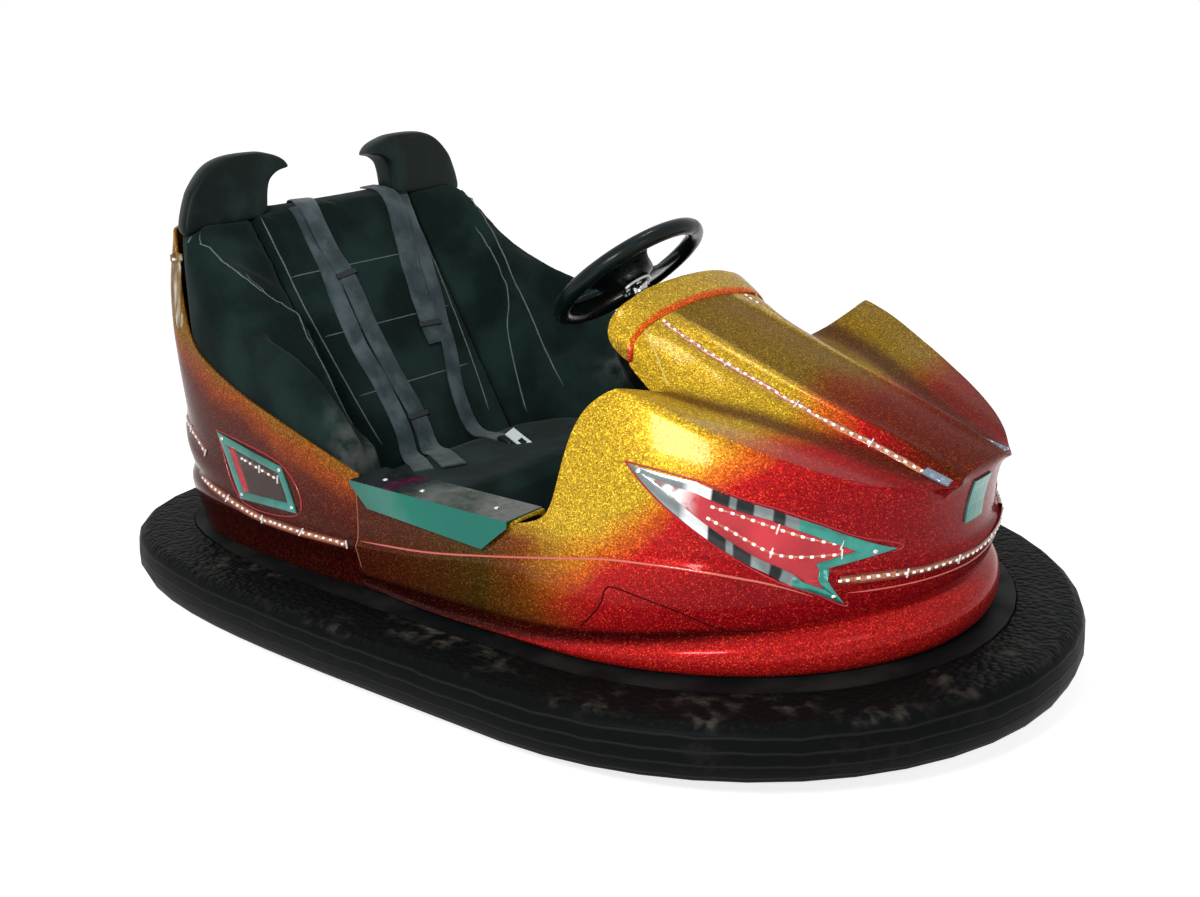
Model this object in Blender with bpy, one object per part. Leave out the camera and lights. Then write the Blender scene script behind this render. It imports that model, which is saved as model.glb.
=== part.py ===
"""Two-seat fairground bumper car, in metres.

X runs to the nose, Y to the left and Z up.  The origin is on the floor under
the middle of the bumper.  Most plan curves are insets of one line, the outer
edge of the rubber bumper, so the body, the band and the pan follow its size.
"""
import math

import bmesh
import bpy
from mathutils import Vector

# Overall size and clearances
LENGTH = 1.95
WIDTH = 1.26
NOSE_RADIUS = 0.69          # length of the half ellipse in front
TAIL_POWER = 4.15           # squareness of the tail's plan curve
SEAT_GAP = 0.0003           # between pieces that rest on each other
RUN_GAP = 0.006             # between pieces that move past each other

# Bumper ring and the steel band inside it
BUMPER_LOW = 0.055
BUMPER_TOP = 0.1645
RUBBER_WIDTH = 0.12
BAND_WALL = 0.008
FLANGE_WIDTH = 0.075
FLANGE_TOP = 0.166
FLANGE_THICKNESS = 0.004

# Floor and chassis
PAN_LOW = 0.080
PAN_THICKNESS = 0.004
FRAME_DEPTH = 0.022
FRAME_BAR = 0.04
FRAME_RAIL_Y = 0.27
FRAME_CROSS_X = (-0.74, -0.40, 0.02, 0.72)

# Body shells
BODY_INSET = 0.172          # bumper edge to body at the flange
SHELL = 0.006
SEAM_X = -0.18
SEAM_GAP = 0.001
SILL_TOP = 0.378
SILL_WIDTH = 0.072
SILL_RETURN = 0.035
SILL_FRONT_X = 0.216

# Steering column and wheel
STEER_CENTRE = (0.103, 0.0, 0.711)
STEER_TILT = math.radians(50.5)
STEER_RADIUS = 0.1455
STEER_RIM = 0.0135
SHAFT_RADIUS = 0.011
SHAFT_LENGTH = 0.405

# Drive unit and running wheels
DRIVE_X = 0.42
DRIVE_RADIUS = 0.10
DRIVE_TYRE_WIDTH = 0.056
TYRE_WALL = 0.022
TOWER_HALF = 0.215
TOWER_TOP = 0.262
TOWER_WALL = 0.005
WELL_RADIUS = 0.20
FORK_SHAFT_TOP = 0.405
MOTOR_RADIUS = 0.068
MOTOR_LENGTH = 0.10
REAR_WHEEL_X = -0.55
REAR_WHEEL_Y = 0.36
REAR_RADIUS = 0.095
REAR_TYRE_WIDTH = 0.048
AXLE_RADIUS = 0.010
WHEEL_STEPS = 28
BORE_GAP = 0.0006

# Seat
DECK_TOP = 0.205
DECK_WALL = 0.008
DECK_FRONT = -0.045
DECK_REAR = REAR_WHEEL_X + REAR_RADIUS + 0.010
DECK_HALF = 0.41
BACK_TOP_X = -0.70
BACK_TOP_Z = 0.795
BACK_FOOT_X = -0.42
BACK_FOOT_Z = 0.30
BACK_THICKNESS = 0.085
BACK_HALF = 0.225
CUSHION_FRONT = -0.03
CUSHION_FRONT_Z = 0.33
CUSHION_REAR_Z = 0.285
CUSHION_HALF = 0.352
HEADREST_DEPTH = 0.070
BATTERY_REAR = -0.41
BATTERY_SIZE = (0.31, 0.50, 0.10)
PEDAL_X = 0.40
PEDAL_Y = 0.295
PEDAL_WIDTH = 0.07
BELT_WIDTH = 0.047
BELT_THICKNESS = 0.003

# Cowl round the steering column
COWL_REAR = 0.222
COWL_FRONT = 0.272
COWL_WALL = 0.008
COWL_LIFT = 0.2             # how far its ends stay up from the hood's cheeks
HOOD_TUCK = 0.010           # how far the hood reaches under the cowl
NECK_GAP = 0.0005
NECK_RISE = 0.032           # how much higher the cowl's rear edge stands
NECK_FLARE = 0.004

# Heights along the car, as (x, z) rows
GROOVE_HEIGHTS = ((-0.18, 0.182), (-0.12, 0.182), (0.066, 0.188), (0.23, 0.196), (0.37, 0.208),
                  (0.49, 0.227), (0.584, 0.237), (0.74, 0.252), (0.83, 0.256))
BELT_HEIGHTS = ((-0.80, 0.275), (-0.56, 0.262), (-0.434, 0.250), (-0.25, 0.250), (-0.153, 0.256),
                (0.014, 0.273), (0.179, 0.304), (0.334, 0.339), (0.434, 0.357), (0.524, 0.353),
                (0.602, 0.341), (0.731, 0.330), (0.83, 0.318))
REAR_EDGE = ((-0.80, 0.780), (-0.745, 0.778), (-0.735, 0.700), (-0.719, 0.604), (-0.681, 0.560),
             (-0.605, 0.527), (-0.536, 0.497), (-0.396, 0.456), (-0.322, 0.436), (-0.226, 0.404),
             (-0.179, 0.386))

# Front shell, low rows: inset change, share of the way from base to groove
PLINTH_ROWS = ((0.0, 0.0), (-0.016, 0.10), (-0.024, 0.42), (-0.018, 0.80), (0.006, 1.0))
PLINTH_SWELL = ((-0.16, 0.25), (0.02, 1.0))     # the plinth's bulge grows over this stretch
# Front shell, middle rows: inset change, share of the way from groove to belt
WAIST_ROWS = ((-0.004, 0.16), (-0.012, 0.70), (-0.018, 1.0))
BELT_LEDGE = 0.012          # height of the step in over the belt line
LEDGE_INSET = -0.006
# Rear edge of the front fender, from the sill up to its peak, as (x, z)
FENDER_EDGE = ((SILL_FRONT_X, SILL_TOP), (0.276, 0.394), (0.296, 0.431), (0.309, 0.493), (0.322, 0.554),
               (0.348, 0.597), (0.392, 0.620))
# Crest from the fender's peak to the nose: share of the way, inset, height
CREST = ((0.0, 0.222, 0.620), (0.12, 0.222, 0.604), (0.30, 0.214, 0.566), (0.48, 0.200, 0.532),
         (0.66, 0.178, 0.500), (0.84, 0.158, 0.474), (1.0, 0.146, 0.457))
# Hood rails from the cowl to the nose: share of the way, half width, height
VALLEY = ((0.0, 0.270, 0.583), (0.35, 0.235, 0.548), (0.75, 0.155, 0.485), (1.0, 0.100, 0.456))
FOOT = ((0.0, 0.224, 0.560), (0.10, 0.222, 0.574), (0.35, 0.200, 0.553), (0.75, 0.140, 0.489), (1.0, 0.095, 0.458))
CHEEK = ((0.0, 0.208, 0.592), (0.12, 0.205, 0.594), (0.35, 0.175, 0.566), (0.75, 0.125, 0.497), (1.0, 0.090, 0.460))
FLANK = ((0.0, 0.206, 0.638), (0.12, 0.165, 0.622), (0.35, 0.145, 0.578), (0.75, 0.113, 0.505), (1.0, 0.085, 0.462))
RIDGE = ((0.0, 0.166, 0.660), (0.12, 0.128, 0.640), (0.35, 0.120, 0.586), (0.75, 0.100, 0.513), (1.0, 0.080, 0.465))
CROWN = ((0.0, 0.097, 0.672), (0.12, 0.090, 0.648), (0.35, 0.085, 0.600), (0.75, 0.070, 0.521), (1.0, 0.050, 0.470))
CENTRE = ((0.0, 0.0, 0.680), (0.12, 0.0, 0.655), (0.35, 0.0, 0.608), (0.75, 0.0, 0.526), (1.0, 0.0, 0.473))
VALLEY_REAR_X = 0.366
FOOT_REAR_X = 0.326
NOSE_OVERHANG = 0.028       # hood's front edge ahead of the body's foot


def mix(a, b, share):
    """Return the value that lies the given share of the way from a to b."""
    return a + (b - a) * share


def look_up(rows, key, column=1):
    """Read one column of a table, whose first column rises, at the key."""
    if key <= rows[0][0]:
        return rows[0][column]
    for low, high in zip(rows, rows[1:]):
        if key <= high[0]:
            return mix(low[column], high[column], (key - low[0]) / (high[0] - low[0]))
    return rows[-1][column]


# The bumper's outer edge in plan, left half, from the nose round to the tail
RIM_MID_X = LENGTH / 2 - NOSE_RADIUS
TAIL_LENGTH = LENGTH - NOSE_RADIUS
RIM_SAMPLES = 720


def rim_sample(angle):
    """Return a point on the bumper's edge and its outward normal."""
    power = 2.0 if angle <= math.pi / 2 else TAIL_POWER
    reach = NOSE_RADIUS if angle <= math.pi / 2 else TAIL_LENGTH
    side = 1.0 if angle <= math.pi / 2 else -1.0
    along = abs(math.cos(angle)) ** (2 / power)
    across = abs(math.sin(angle)) ** (2 / power)
    point = Vector((RIM_MID_X + side * reach * along, WIDTH / 2 * across))
    normal = Vector((side * along ** (power - 1) / reach, across ** (power - 1) / (WIDTH / 2)))
    return point, normal.normalized()


def rim_table():
    """List (distance, point, normal) along the half edge, by small steps."""
    rows = []
    run = 0.0
    last = None
    for step in range(RIM_SAMPLES + 1):
        point, normal = rim_sample(math.pi * step / RIM_SAMPLES)
        if last is not None:
            run += (point - last).length
        rows.append((run, point, normal))
        last = point
    return rows


RIM = rim_table()
RIM_RUN = RIM[-1][0]


def rim_at(share, inset):
    """Return the plan point at a share of the half edge, moved in by inset."""
    target = min(max(share, 0.0), 1.0) * RIM_RUN
    low = 0
    high = len(RIM) - 1
    while high - low > 1:
        middle = (low + high) // 2
        if RIM[middle][0] <= target:
            low = middle
        else:
            high = middle
    step = (target - RIM[low][0]) / max(RIM[high][0] - RIM[low][0], 1e-9)
    point = RIM[low][1].lerp(RIM[high][1], step)
    normal = RIM[low][2].lerp(RIM[high][2], step).normalized()
    plan = point - normal * inset
    if share <= 0.0 or share >= 1.0:
        plan.y = 0.0
    return plan


def rim_share(x, inset):
    """Find the share of the half edge where the inset line reaches x."""
    low = 0.0
    high = 1.0
    for _ in range(40):
        middle = (low + high) / 2
        if rim_at(middle, inset).x > x:
            low = middle
        else:
            high = middle
    return (low + high) / 2


def half_width(x, inset):
    """Return the half width of the inset line at x."""
    return rim_at(rim_share(x, inset), inset).y


def tail_x(y, inset):
    """Return where the inset line crosses y behind the seat."""
    low = rim_share(RIM_MID_X, inset)
    high = 1.0
    for _ in range(40):
        middle = (low + high) / 2
        if rim_at(middle, inset).y > y:
            low = middle
        else:
            high = middle
    return rim_at(low, inset).x


# Materials

def finish(name, colour, roughness, metallic=0.0):
    """Make a plain material of one colour."""
    material = bpy.data.materials.new(name)
    material.use_nodes = True
    shader = material.node_tree.nodes["Principled BSDF"]
    shader.inputs["Base Color"].default_value = (*colour, 1.0)
    shader.inputs["Roughness"].default_value = roughness
    shader.inputs["Metallic"].default_value = metallic
    return material


# Solids

def place(name, shape, material, pivot=(0.0, 0.0, 0.0), smooth_angle=30.0):
    """Turn a bmesh into a named object whose origin is at the pivot."""
    bmesh.ops.translate(shape, vec=-Vector(pivot), verts=shape.verts)
    mesh = bpy.data.meshes.new(name)
    shape.to_mesh(mesh)
    shape.free()
    mesh.materials.append(material)
    mesh.shade_smooth()
    mesh.set_sharp_from_angle(angle=math.radians(smooth_angle))
    thing = bpy.data.objects.new(name, mesh)
    thing.location = pivot
    bpy.context.collection.objects.link(thing)
    return thing


def from_faces(points, faces):
    """Build a bmesh from points and faces, with normals that agree."""
    shape = bmesh.new()
    corners = [shape.verts.new(point) for point in points]
    for face in faces:
        shape.faces.new([corners[index] for index in face])
    bmesh.ops.recalc_face_normals(shape, faces=shape.faces)
    return shape


def loft(loops, ring=False):
    """Join equal loops of points in order, closed as a ring or by two caps."""
    count = len(loops[0])
    points = [point for loop in loops for point in loop]
    faces = []
    spans = len(loops) if ring else len(loops) - 1
    for span in range(spans):
        here = span * count
        there = (span + 1) % len(loops) * count
        for corner in range(count):
            after = (corner + 1) % count
            faces.append((here + corner, here + after, there + after, there + corner))
    if not ring:
        faces.append(tuple(range(count)))
        faces.append(tuple(range(spans * count, (spans + 1) * count)))
    return from_faces(points, faces)


def prism_y(outline, low, high):
    """Extrude an (x, z) outline from y = low to y = high."""
    return loft([[(x, y, z) for x, z in outline] for y in (low, high)])


def block(low, high):
    """Make a box between two corners."""
    outline = ((low[0], low[2]), (high[0], low[2]), (high[0], high[2]), (low[0], high[2]))
    return prism_y(outline, low[1], high[1])


def turned(profile, steps, centre, axis="Y"):
    """Revolve a closed (radius, along) profile round an axis at the centre."""
    loops = []
    for step in range(steps):
        angle = 2 * math.pi * step / steps
        c = math.cos(angle)
        s = math.sin(angle)
        loop = []
        for radius, along in profile:
            if axis == "Y":
                loop.append((centre[0] + radius * c, centre[1] + along, centre[2] + radius * s))
            else:
                loop.append((centre[0] + radius * c, centre[1] + radius * s, centre[2] + along))
        loops.append(loop)
    return loft(loops, ring=True)


def disc(radius, low, high, steps, centre, axis="Y"):
    """Make a plain cylinder about an axis through the centre."""
    loops = []
    for along in (low, high):
        loop = []
        for step in range(steps):
            angle = 2 * math.pi * step / steps
            c = radius * math.cos(angle)
            s = radius * math.sin(angle)
            if axis == "Y":
                loop.append((centre[0] + c, centre[1] + along, centre[2] + s))
            else:
                loop.append((centre[0] + c, centre[1] + s, centre[2] + along))
        loops.append(loop)
    return loft(loops)


def cutter(name, shape):
    """Keep a solid as a hidden tool for a Boolean."""
    mesh = bpy.data.meshes.new(name)
    shape.to_mesh(mesh)
    shape.free()
    thing = bpy.data.objects.new(name, mesh)
    thing.hide_render = True
    thing.display_type = "WIRE"
    bpy.context.collection.objects.link(thing)
    return thing


def combine(thing, others, operation):
    """Cut or join solids with a Boolean modifier each."""
    for other in others:
        step = thing.modifiers.new("combine", "BOOLEAN")
        step.operation = operation
        step.object = other
        step.solver = "EXACT"
    return thing


def sheet(name, points, faces, thickness, material, outward, mirror=True):
    """Make a half surface, mirror it and give it a wall to the inside."""
    shape = from_faces(points, faces)
    lean = sum(face.normal.dot(outward) * face.calc_area() for face in shape.faces)
    if lean < 0:
        bmesh.ops.reverse_faces(shape, faces=shape.faces)
    bmesh.ops.triangulate(shape, faces=shape.faces)
    thing = place(name, shape, material)
    if mirror:
        halves = thing.modifiers.new("mirror", "MIRROR")
        halves.use_axis = (False, True, False)
        halves.use_clip = True
        halves.merge_threshold = 0.0001
    wall = thing.modifiers.new("wall", "SOLIDIFY")
    wall.thickness = thickness
    wall.offset = -1.0
    wall.use_even_offset = True
    wall.thickness_clamp = 0.0
    return thing


# Bumper

BUMPER_STATIONS = 64
# Section of the rubber ring: inset from the outer edge, height
RUBBER_SECTION = ((RUBBER_WIDTH, BUMPER_LOW), (0.040, BUMPER_LOW), (0.012, BUMPER_LOW + 0.014),
                  (0.0, BUMPER_LOW + 0.042), (0.0, BUMPER_TOP - 0.038), (0.006, BUMPER_TOP - 0.014),
                  (0.022, BUMPER_TOP), (RUBBER_WIDTH, BUMPER_TOP))


def round_rim(section):
    """Sweep a section of (inset, height) points round the whole car."""
    half = BUMPER_STATIONS // 2
    loops = []
    for station in range(BUMPER_STATIONS):
        share = station / half if station <= half else (BUMPER_STATIONS - station) / half
        side = 1.0 if station <= half else -1.0
        loop = []
        for inset, height in section:
            plan = rim_at(share, inset)
            loop.append((plan.x, side * plan.y, height))
        loops.append(loop)
    return loft(loops, ring=True)


def build_bumper(rubber, steel):
    place("bumper_ring", round_rim(RUBBER_SECTION), rubber)
    outer = RUBBER_WIDTH + SEAT_GAP
    inner = outer + BAND_WALL
    lip = outer + FLANGE_WIDTH
    low = BUMPER_LOW + 0.002
    band = ((outer, low), (outer, FLANGE_TOP), (lip, FLANGE_TOP), (lip, FLANGE_TOP - FLANGE_THICKNESS),
            (inner, FLANGE_TOP - FLANGE_THICKNESS), (inner, low))
    place("bumper_band", round_rim(band), steel)


# Floor and chassis

PAN_TOP = PAN_LOW + PAN_THICKNESS
PAN_INSET = RUBBER_WIDTH + SEAT_GAP + BAND_WALL + SEAT_GAP


def rim_outline(inset, stations):
    """List the whole inset line as plan points."""
    half = stations // 2
    outline = []
    for station in range(stations):
        share = station / half if station <= half else (stations - station) / half
        side = 1.0 if station <= half else -1.0
        plan = rim_at(share, inset)
        outline.append((plan.x, side * plan.y))
    return outline


def ring_half_width(x, inset):
    """Half width, at x, of the many-sided line that the ring really follows."""
    outline = rim_outline(inset, BUMPER_STATIONS)[:BUMPER_STATIONS // 2 + 1]
    for ahead, behind in zip(outline, outline[1:]):
        if behind[0] <= x <= ahead[0]:
            return mix(behind[1], ahead[1], (x - behind[0]) / (ahead[0] - behind[0]))
    return 0.0


def build_floor(paint):
    outline = rim_outline(PAN_INSET, BUMPER_STATIONS)
    pan = place("floor_pan", loft([[(x, y, z) for x, y in outline] for z in (PAN_LOW, PAN_TOP)]), paint)
    well = cutter("drive_well", disc(WELL_RADIUS, 0.0, 0.2, 40, (DRIVE_X, 0.0, 0.0), "Z"))
    cuts = [well]
    reach = REAR_RADIUS + RUN_GAP
    half = REAR_TYRE_WIDTH / 2 + RUN_GAP
    for side, word in ((1, "left"), (-1, "right")):
        y = side * REAR_WHEEL_Y
        low = (REAR_WHEEL_X - reach, y - half, 0.0)
        high = (REAR_WHEEL_X + reach, y + half, 0.2)
        cuts.append(cutter("wheel_slot_" + word, block(low, high)))
    combine(pan, cuts, "DIFFERENCE")


def build_frame(paint):
    """Ladder of two rails and four cross bars under the pan."""
    low = PAN_LOW - SEAT_GAP - FRAME_DEPTH
    high = PAN_LOW - SEAT_GAP
    half_bar = FRAME_BAR / 2
    rear = FRAME_CROSS_X[0] + half_bar
    front = FRAME_CROSS_X[-1] - half_bar
    bars = []
    for x in FRAME_CROSS_X:
        reach = min(ring_half_width(x - half_bar, PAN_INSET), ring_half_width(x + half_bar, PAN_INSET))
        bars.append(block((x - half_bar, -reach, low), (x + half_bar, reach, high)))
    frame = place("chassis_frame", bars[0], paint)
    joins = [cutter("cross_bar_" + str(number), bar) for number, bar in enumerate(bars[1:])]
    for side, word in ((1, "left"), (-1, "right")):
        y = side * FRAME_RAIL_Y
        rail = block((rear - half_bar, y - half_bar, low), (front + half_bar, y + half_bar, high))
        joins.append(cutter("rail_" + word, rail))
    combine(frame, joins, "UNION")


# Body shells

SEAM_SHARE = rim_share(SEAM_X, BODY_INSET)
AFT_COLUMNS = 7
FORE_COLUMNS = 16
LAST_SHARE = rim_share(LENGTH / 2 - BODY_INSET + 0.004, BODY_INSET - NOSE_OVERHANG)
BASE_Z = FLANGE_TOP + SEAT_GAP


def fore_steps():
    """Shares of the way from the fender's edge to the nose, closer at the start."""
    return [step / FORE_COLUMNS for step in range(FORE_COLUMNS + 1)]


def body_foot(share):
    return rim_at(share, BODY_INSET)


def low_point(share, inset_change, low, high, way):
    """Point of a low row: inset from the rim, height between two lines."""
    plan = rim_at(share, BODY_INSET + inset_change)
    return (plan.x, plan.y, mix(low, high, way))


def front_low_rows(shares):
    """Rows from the flange up to the ledge over the belt, at each share of the rim."""
    count = len(PLINTH_ROWS) + len(WAIST_ROWS) + 1
    rows = [[] for _ in range(count)]
    for share in shares:
        x = body_foot(share).x
        groove = look_up(GROOVE_HEIGHTS, x)
        belt = look_up(BELT_HEIGHTS, x)
        swell = look_up(PLINTH_SWELL, x)
        line = [low_point(share, change * swell, BASE_Z, groove, way) for change, way in PLINTH_ROWS]
        line += [low_point(share, change, groove, belt, way) for change, way in WAIST_ROWS]
        line.append(low_point(share, LEDGE_INSET, belt, belt + BELT_LEDGE, 1.0))
        for row, point in zip(rows, line):
            row.append(point)
    return rows


def side_point(row, way, extra_share=None):
    """Point of the fender's side, on the row that starts at FENDER_EDGE[row]."""
    edge_x, edge_z = FENDER_EDGE[row]
    peak_z = FENDER_EDGE[-1][1]
    rear_belt = look_up(BELT_HEIGHTS, edge_x) + BELT_LEDGE
    lift = (edge_z - rear_belt) / (peak_z - rear_belt)
    roll = lift ** 2.6
    start = rim_share(edge_x, BODY_INSET)
    share = mix(start, LAST_SHARE, way) if extra_share is None else extra_share
    belt_z = look_up(BELT_HEIGHTS, body_foot(share).x) + BELT_LEDGE
    crest_z = look_up(CREST, way, 2)
    crest_inset = look_up(CREST, way, 1)
    inset = mix(BODY_INSET + LEDGE_INSET, crest_inset, roll)
    plan = rim_at(share, inset)
    return (plan.x, plan.y, mix(belt_z, crest_z, lift))


def hood_point(table, rear_x, way):
    nose_x = LENGTH / 2 - BODY_INSET + NOSE_OVERHANG
    x = mix(rear_x, nose_x, way)
    return (x, look_up(table, way, 1), look_up(table, way, 2))


def neck_line(x):
    """Half arch of the hood's neck at x, from its cheek to the top."""
    way = (COWL_FRONT - x) / (COWL_FRONT - COWL_REAR)
    line = []
    for rows in (CHEEK, FLANK, RIDGE, CROWN, CENTRE):
        width, height = rows[0][1:]
        line.append((width + NECK_FLARE * way * (width > 0), height + NECK_RISE * way))
    return line


def build_front_shell(paint):
    """Nose, fenders and hood as one moulding, open over the cockpit."""
    steps = fore_steps()
    sill_start = rim_share(SILL_FRONT_X, BODY_INSET)
    aft = [mix(SEAM_SHARE, sill_start, step / AFT_COLUMNS) for step in range(AFT_COLUMNS)]
    fore = [mix(sill_start, LAST_SHARE, way) for way in steps]
    neck_x = (COWL_FRONT - HOOD_TUCK, COWL_FRONT + 0.003)
    neck = [neck_line(x) for x in neck_x]
    top_rows = ((VALLEY_REAR_X, VALLEY), (FOOT_REAR_X, FOOT), (COWL_FRONT, CHEEK), (COWL_FRONT, FLANK),
                (COWL_FRONT, RIDGE), (COWL_FRONT, CROWN), (COWL_FRONT, CENTRE))
    extra_count = len(top_rows)
    extra = [LAST_SHARE * (1 - (step + 1) / extra_count) for step in range(extra_count)]
    shares = aft + fore + extra
    grid = front_low_rows(shares)
    first_fore = len(aft)
    last_fore = first_fore + FORE_COLUMNS

    points = []
    lookup = {}

    def add(key, point):
        lookup[key] = len(points)
        points.append(point)

    for row, line in enumerate(grid):
        for column, point in enumerate(line):
            add((row, column), point)
    low_rows = len(grid)
    for column, share in enumerate(aft):
        plan = rim_at(share, BODY_INSET + LEDGE_INSET)
        add((low_rows, column), (plan.x, plan.y, SILL_TOP))
    for row in range(len(FENDER_EDGE)):
        for step, way in enumerate(steps):
            add((low_rows + row, first_fore + step), side_point(row, way))
        if row < len(FENDER_EDGE) - 1:
            for step, share in enumerate(extra):
                add((low_rows + row, last_fore + 1 + step), side_point(row, 1.0, share))
    crest_row = low_rows + len(FENDER_EDGE) - 1
    for number, (rear_x, table) in enumerate(top_rows):
        for step, way in enumerate(steps):
            point = hood_point(table, rear_x, way)
            if number >= 2 and step < len(neck):
                point = (neck_x[step], *neck[step][number - 2])
            add((crest_row + 1 + number, first_fore + step), point)
        lookup[(crest_row, last_fore + 1 + number)] = lookup[(crest_row + 1 + number, last_fore)]
    last_column = last_fore + extra_count
    faces = []

    def cell(row, column):
        keys = ((row, column), (row, column + 1), (row + 1, column + 1), (row + 1, column))
        if all(key in lookup for key in keys):
            faces.append(tuple(lookup[key] for key in keys))

    for row in range(crest_row):
        for column in range(last_column):
            cell(row, column)
    for row in range(crest_row, crest_row + extra_count):
        for column in range(first_fore, last_fore):
            cell(row, column)

    # Sill flange: in over the cockpit's side, then a short return down
    flange = ((0.003, SILL_TOP + 0.004), (SILL_WIDTH, SILL_TOP + 0.004), (SILL_WIDTH, SILL_TOP - SILL_RETURN))
    previous = [lookup[(low_rows, column)] for column in range(first_fore + 1)]
    for inset_change, height in flange:
        line = []
        for column in range(first_fore + 1):
            plan = rim_at(shares[column], BODY_INSET + inset_change)
            line.append(len(points))
            points.append((plan.x, plan.y, height))
        for column in range(first_fore):
            faces.append((previous[column], previous[column + 1], line[column + 1], line[column]))
        previous = line
    return sheet("body_front", points, faces, SHELL, paint, Vector((0.3, 0.6, 0.4)))


# Rear shell rows: inset change at the side, at the tail, share of the way up
REAR_LOW_ROWS = ((0.002, 0.022, 0.0), (0.002, 0.016, 0.30), (-0.001, 0.004, 0.62), (-0.014, 0.0, 0.84),
                 (-0.016, 0.002, 1.0))
REAR_HIGH_ROWS = ((-0.004, 0.014, 0.05), (-0.004, 0.002, 0.11), (-0.004, -0.004, 0.17), (-0.003, -0.003, 0.22),
                  (-0.002, 0.010, 0.28), (0.0, 0.002, 0.40), (0.0, -0.002, 0.54), (0.0, -0.006, 0.72),
                  (0.002, 0.002, 0.87), (0.006, 0.018, 1.0))
TAIL_FROM = -0.62
TAIL_FULL = -0.74
REAR_COLUMNS = 17
# How far the rear shell stands out past the body line, by x, and in the middle of the tail
REAR_FLARE = ((-0.80, 0.054), (-0.72, 0.046), (-0.55, 0.022), (-0.40, 0.014), (-0.28, 0.012), (-0.18, 0.0))
TAIL_FLARE = 0.042
CORNER_HALF = 0.34          # half width past which the side's flare holds
REAR_SHARES = [mix(rim_share(SEAM_X - SEAM_GAP, BODY_INSET), 1.0, step / REAR_COLUMNS)
               for step in range(REAR_COLUMNS + 1)]


def rear_plan(share, side_change, tail_change):
    """Plan point of the rear shell for a row's two inset changes."""
    foot = body_foot(share)
    turn = min(foot.y / CORNER_HALF, 1.0)
    turn = turn * turn * (3 - 2 * turn)
    flare = mix(TAIL_FLARE, look_up(REAR_FLARE, foot.x), turn)
    round_tail = min(max((TAIL_FROM - foot.x) / (TAIL_FROM - TAIL_FULL), 0.0), 1.0)
    return rim_at(share, BODY_INSET - flare + mix(side_change, tail_change, round_tail))


def build_rear_shell(paint):
    """Tail, rear quarters and the tall panel behind the seat."""
    points = []
    for rows, upper in ((REAR_LOW_ROWS, False), (REAR_HIGH_ROWS, True)):
        for side_change, tail_change, way in rows:
            for share in REAR_SHARES:
                x = body_foot(share).x
                belt = look_up(BELT_HEIGHTS, x)
                low = belt if upper else BASE_Z
                high = look_up(REAR_EDGE, x) if upper else belt
                plan = rear_plan(share, side_change, tail_change)
                points.append((plan.x, plan.y, mix(low, high, way)))
    width = REAR_COLUMNS + 1
    faces = []
    for row in range(len(REAR_LOW_ROWS) + len(REAR_HIGH_ROWS) - 1):
        for column in range(REAR_COLUMNS):
            corner = row * width + column
            faces.append((corner, corner + 1, corner + width + 1, corner + width))
    return sheet("body_rear", points, faces, SHELL, paint, Vector((-0.5, 0.8, 0.0)))


def both_sides(half):
    """Mirror a half arch, that ends on the middle, into a whole one."""
    return list(half) + [(-width, height) for width, height in reversed(half[:-1])]


def arch_out(arch, distance):
    """Move a half arch outwards, square to its own line."""
    moved = []
    for index, (width, height) in enumerate(arch):
        before = Vector(arch[max(index - 1, 0)])
        after = Vector(arch[index + 1]) if index + 1 < len(arch) else Vector((-arch[-2][0], arch[-2][1]))
        along = (after - before).normalized()
        out = Vector((along.y, -along.x))
        point = Vector((width, height)) + out * distance
        moved.append((point.x if width > 0 else 0.0, point.y))
    return moved


def build_cowl(paint):
    """Raised collar round the hood's neck, which the column comes out of."""
    loops = []
    for step in range(3):
        x = mix(COWL_FRONT, COWL_REAR, step / 2)
        line = neck_line(x)
        line[0] = tuple(mix(foot, above, COWL_LIFT) for foot, above in zip(*line[:2]))
        inner = arch_out(line, NECK_GAP)
        outer = arch_out(line, NECK_GAP + COWL_WALL)
        loops.append([(x, y, z) for y, z in both_sides(outer) + both_sides(inner)[::-1]])
    place("cowl", loft(loops), paint)


# Panels that lie on a shell

def ring_prism(outer, inner, low, high):
    """Extrude the band between two (x, z) outlines of equal counts along Y."""
    loops = []
    for outline in (outer, inner):
        for y in (low, high):
            loops.append([(x, y, z) for x, z in outline])
    return loft([loops[0], loops[1], loops[3], loops[2]], ring=True)


def skin_panel(name, body, window, thickness, material):
    """Take what the window holds of a layer that lies on the body's skin."""
    mesh = body.data.copy()
    mesh.name = name
    mesh.materials.clear()
    mesh.materials.append(material)
    thing = bpy.data.objects.new(name, mesh)
    bpy.context.collection.objects.link(thing)
    halves = thing.modifiers.new("mirror", "MIRROR")
    halves.use_axis = (False, True, False)
    halves.use_clip = True
    halves.merge_threshold = 0.0001
    lift = thing.modifiers.new("lift", "DISPLACE")
    lift.strength = SEAT_GAP
    lift.mid_level = 0.0
    layer = thing.modifiers.new("layer", "SOLIDIFY")
    layer.thickness = thickness
    layer.offset = 1.0
    layer.use_even_offset = True
    return combine(thing, [cutter(name + "_window", window)], "INTERSECT")


TRIM_THICKNESS = 0.003
TRIM_BAND = 0.017
LENS_GAP = 0.0005
LENS_THICKNESS = 0.002
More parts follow.
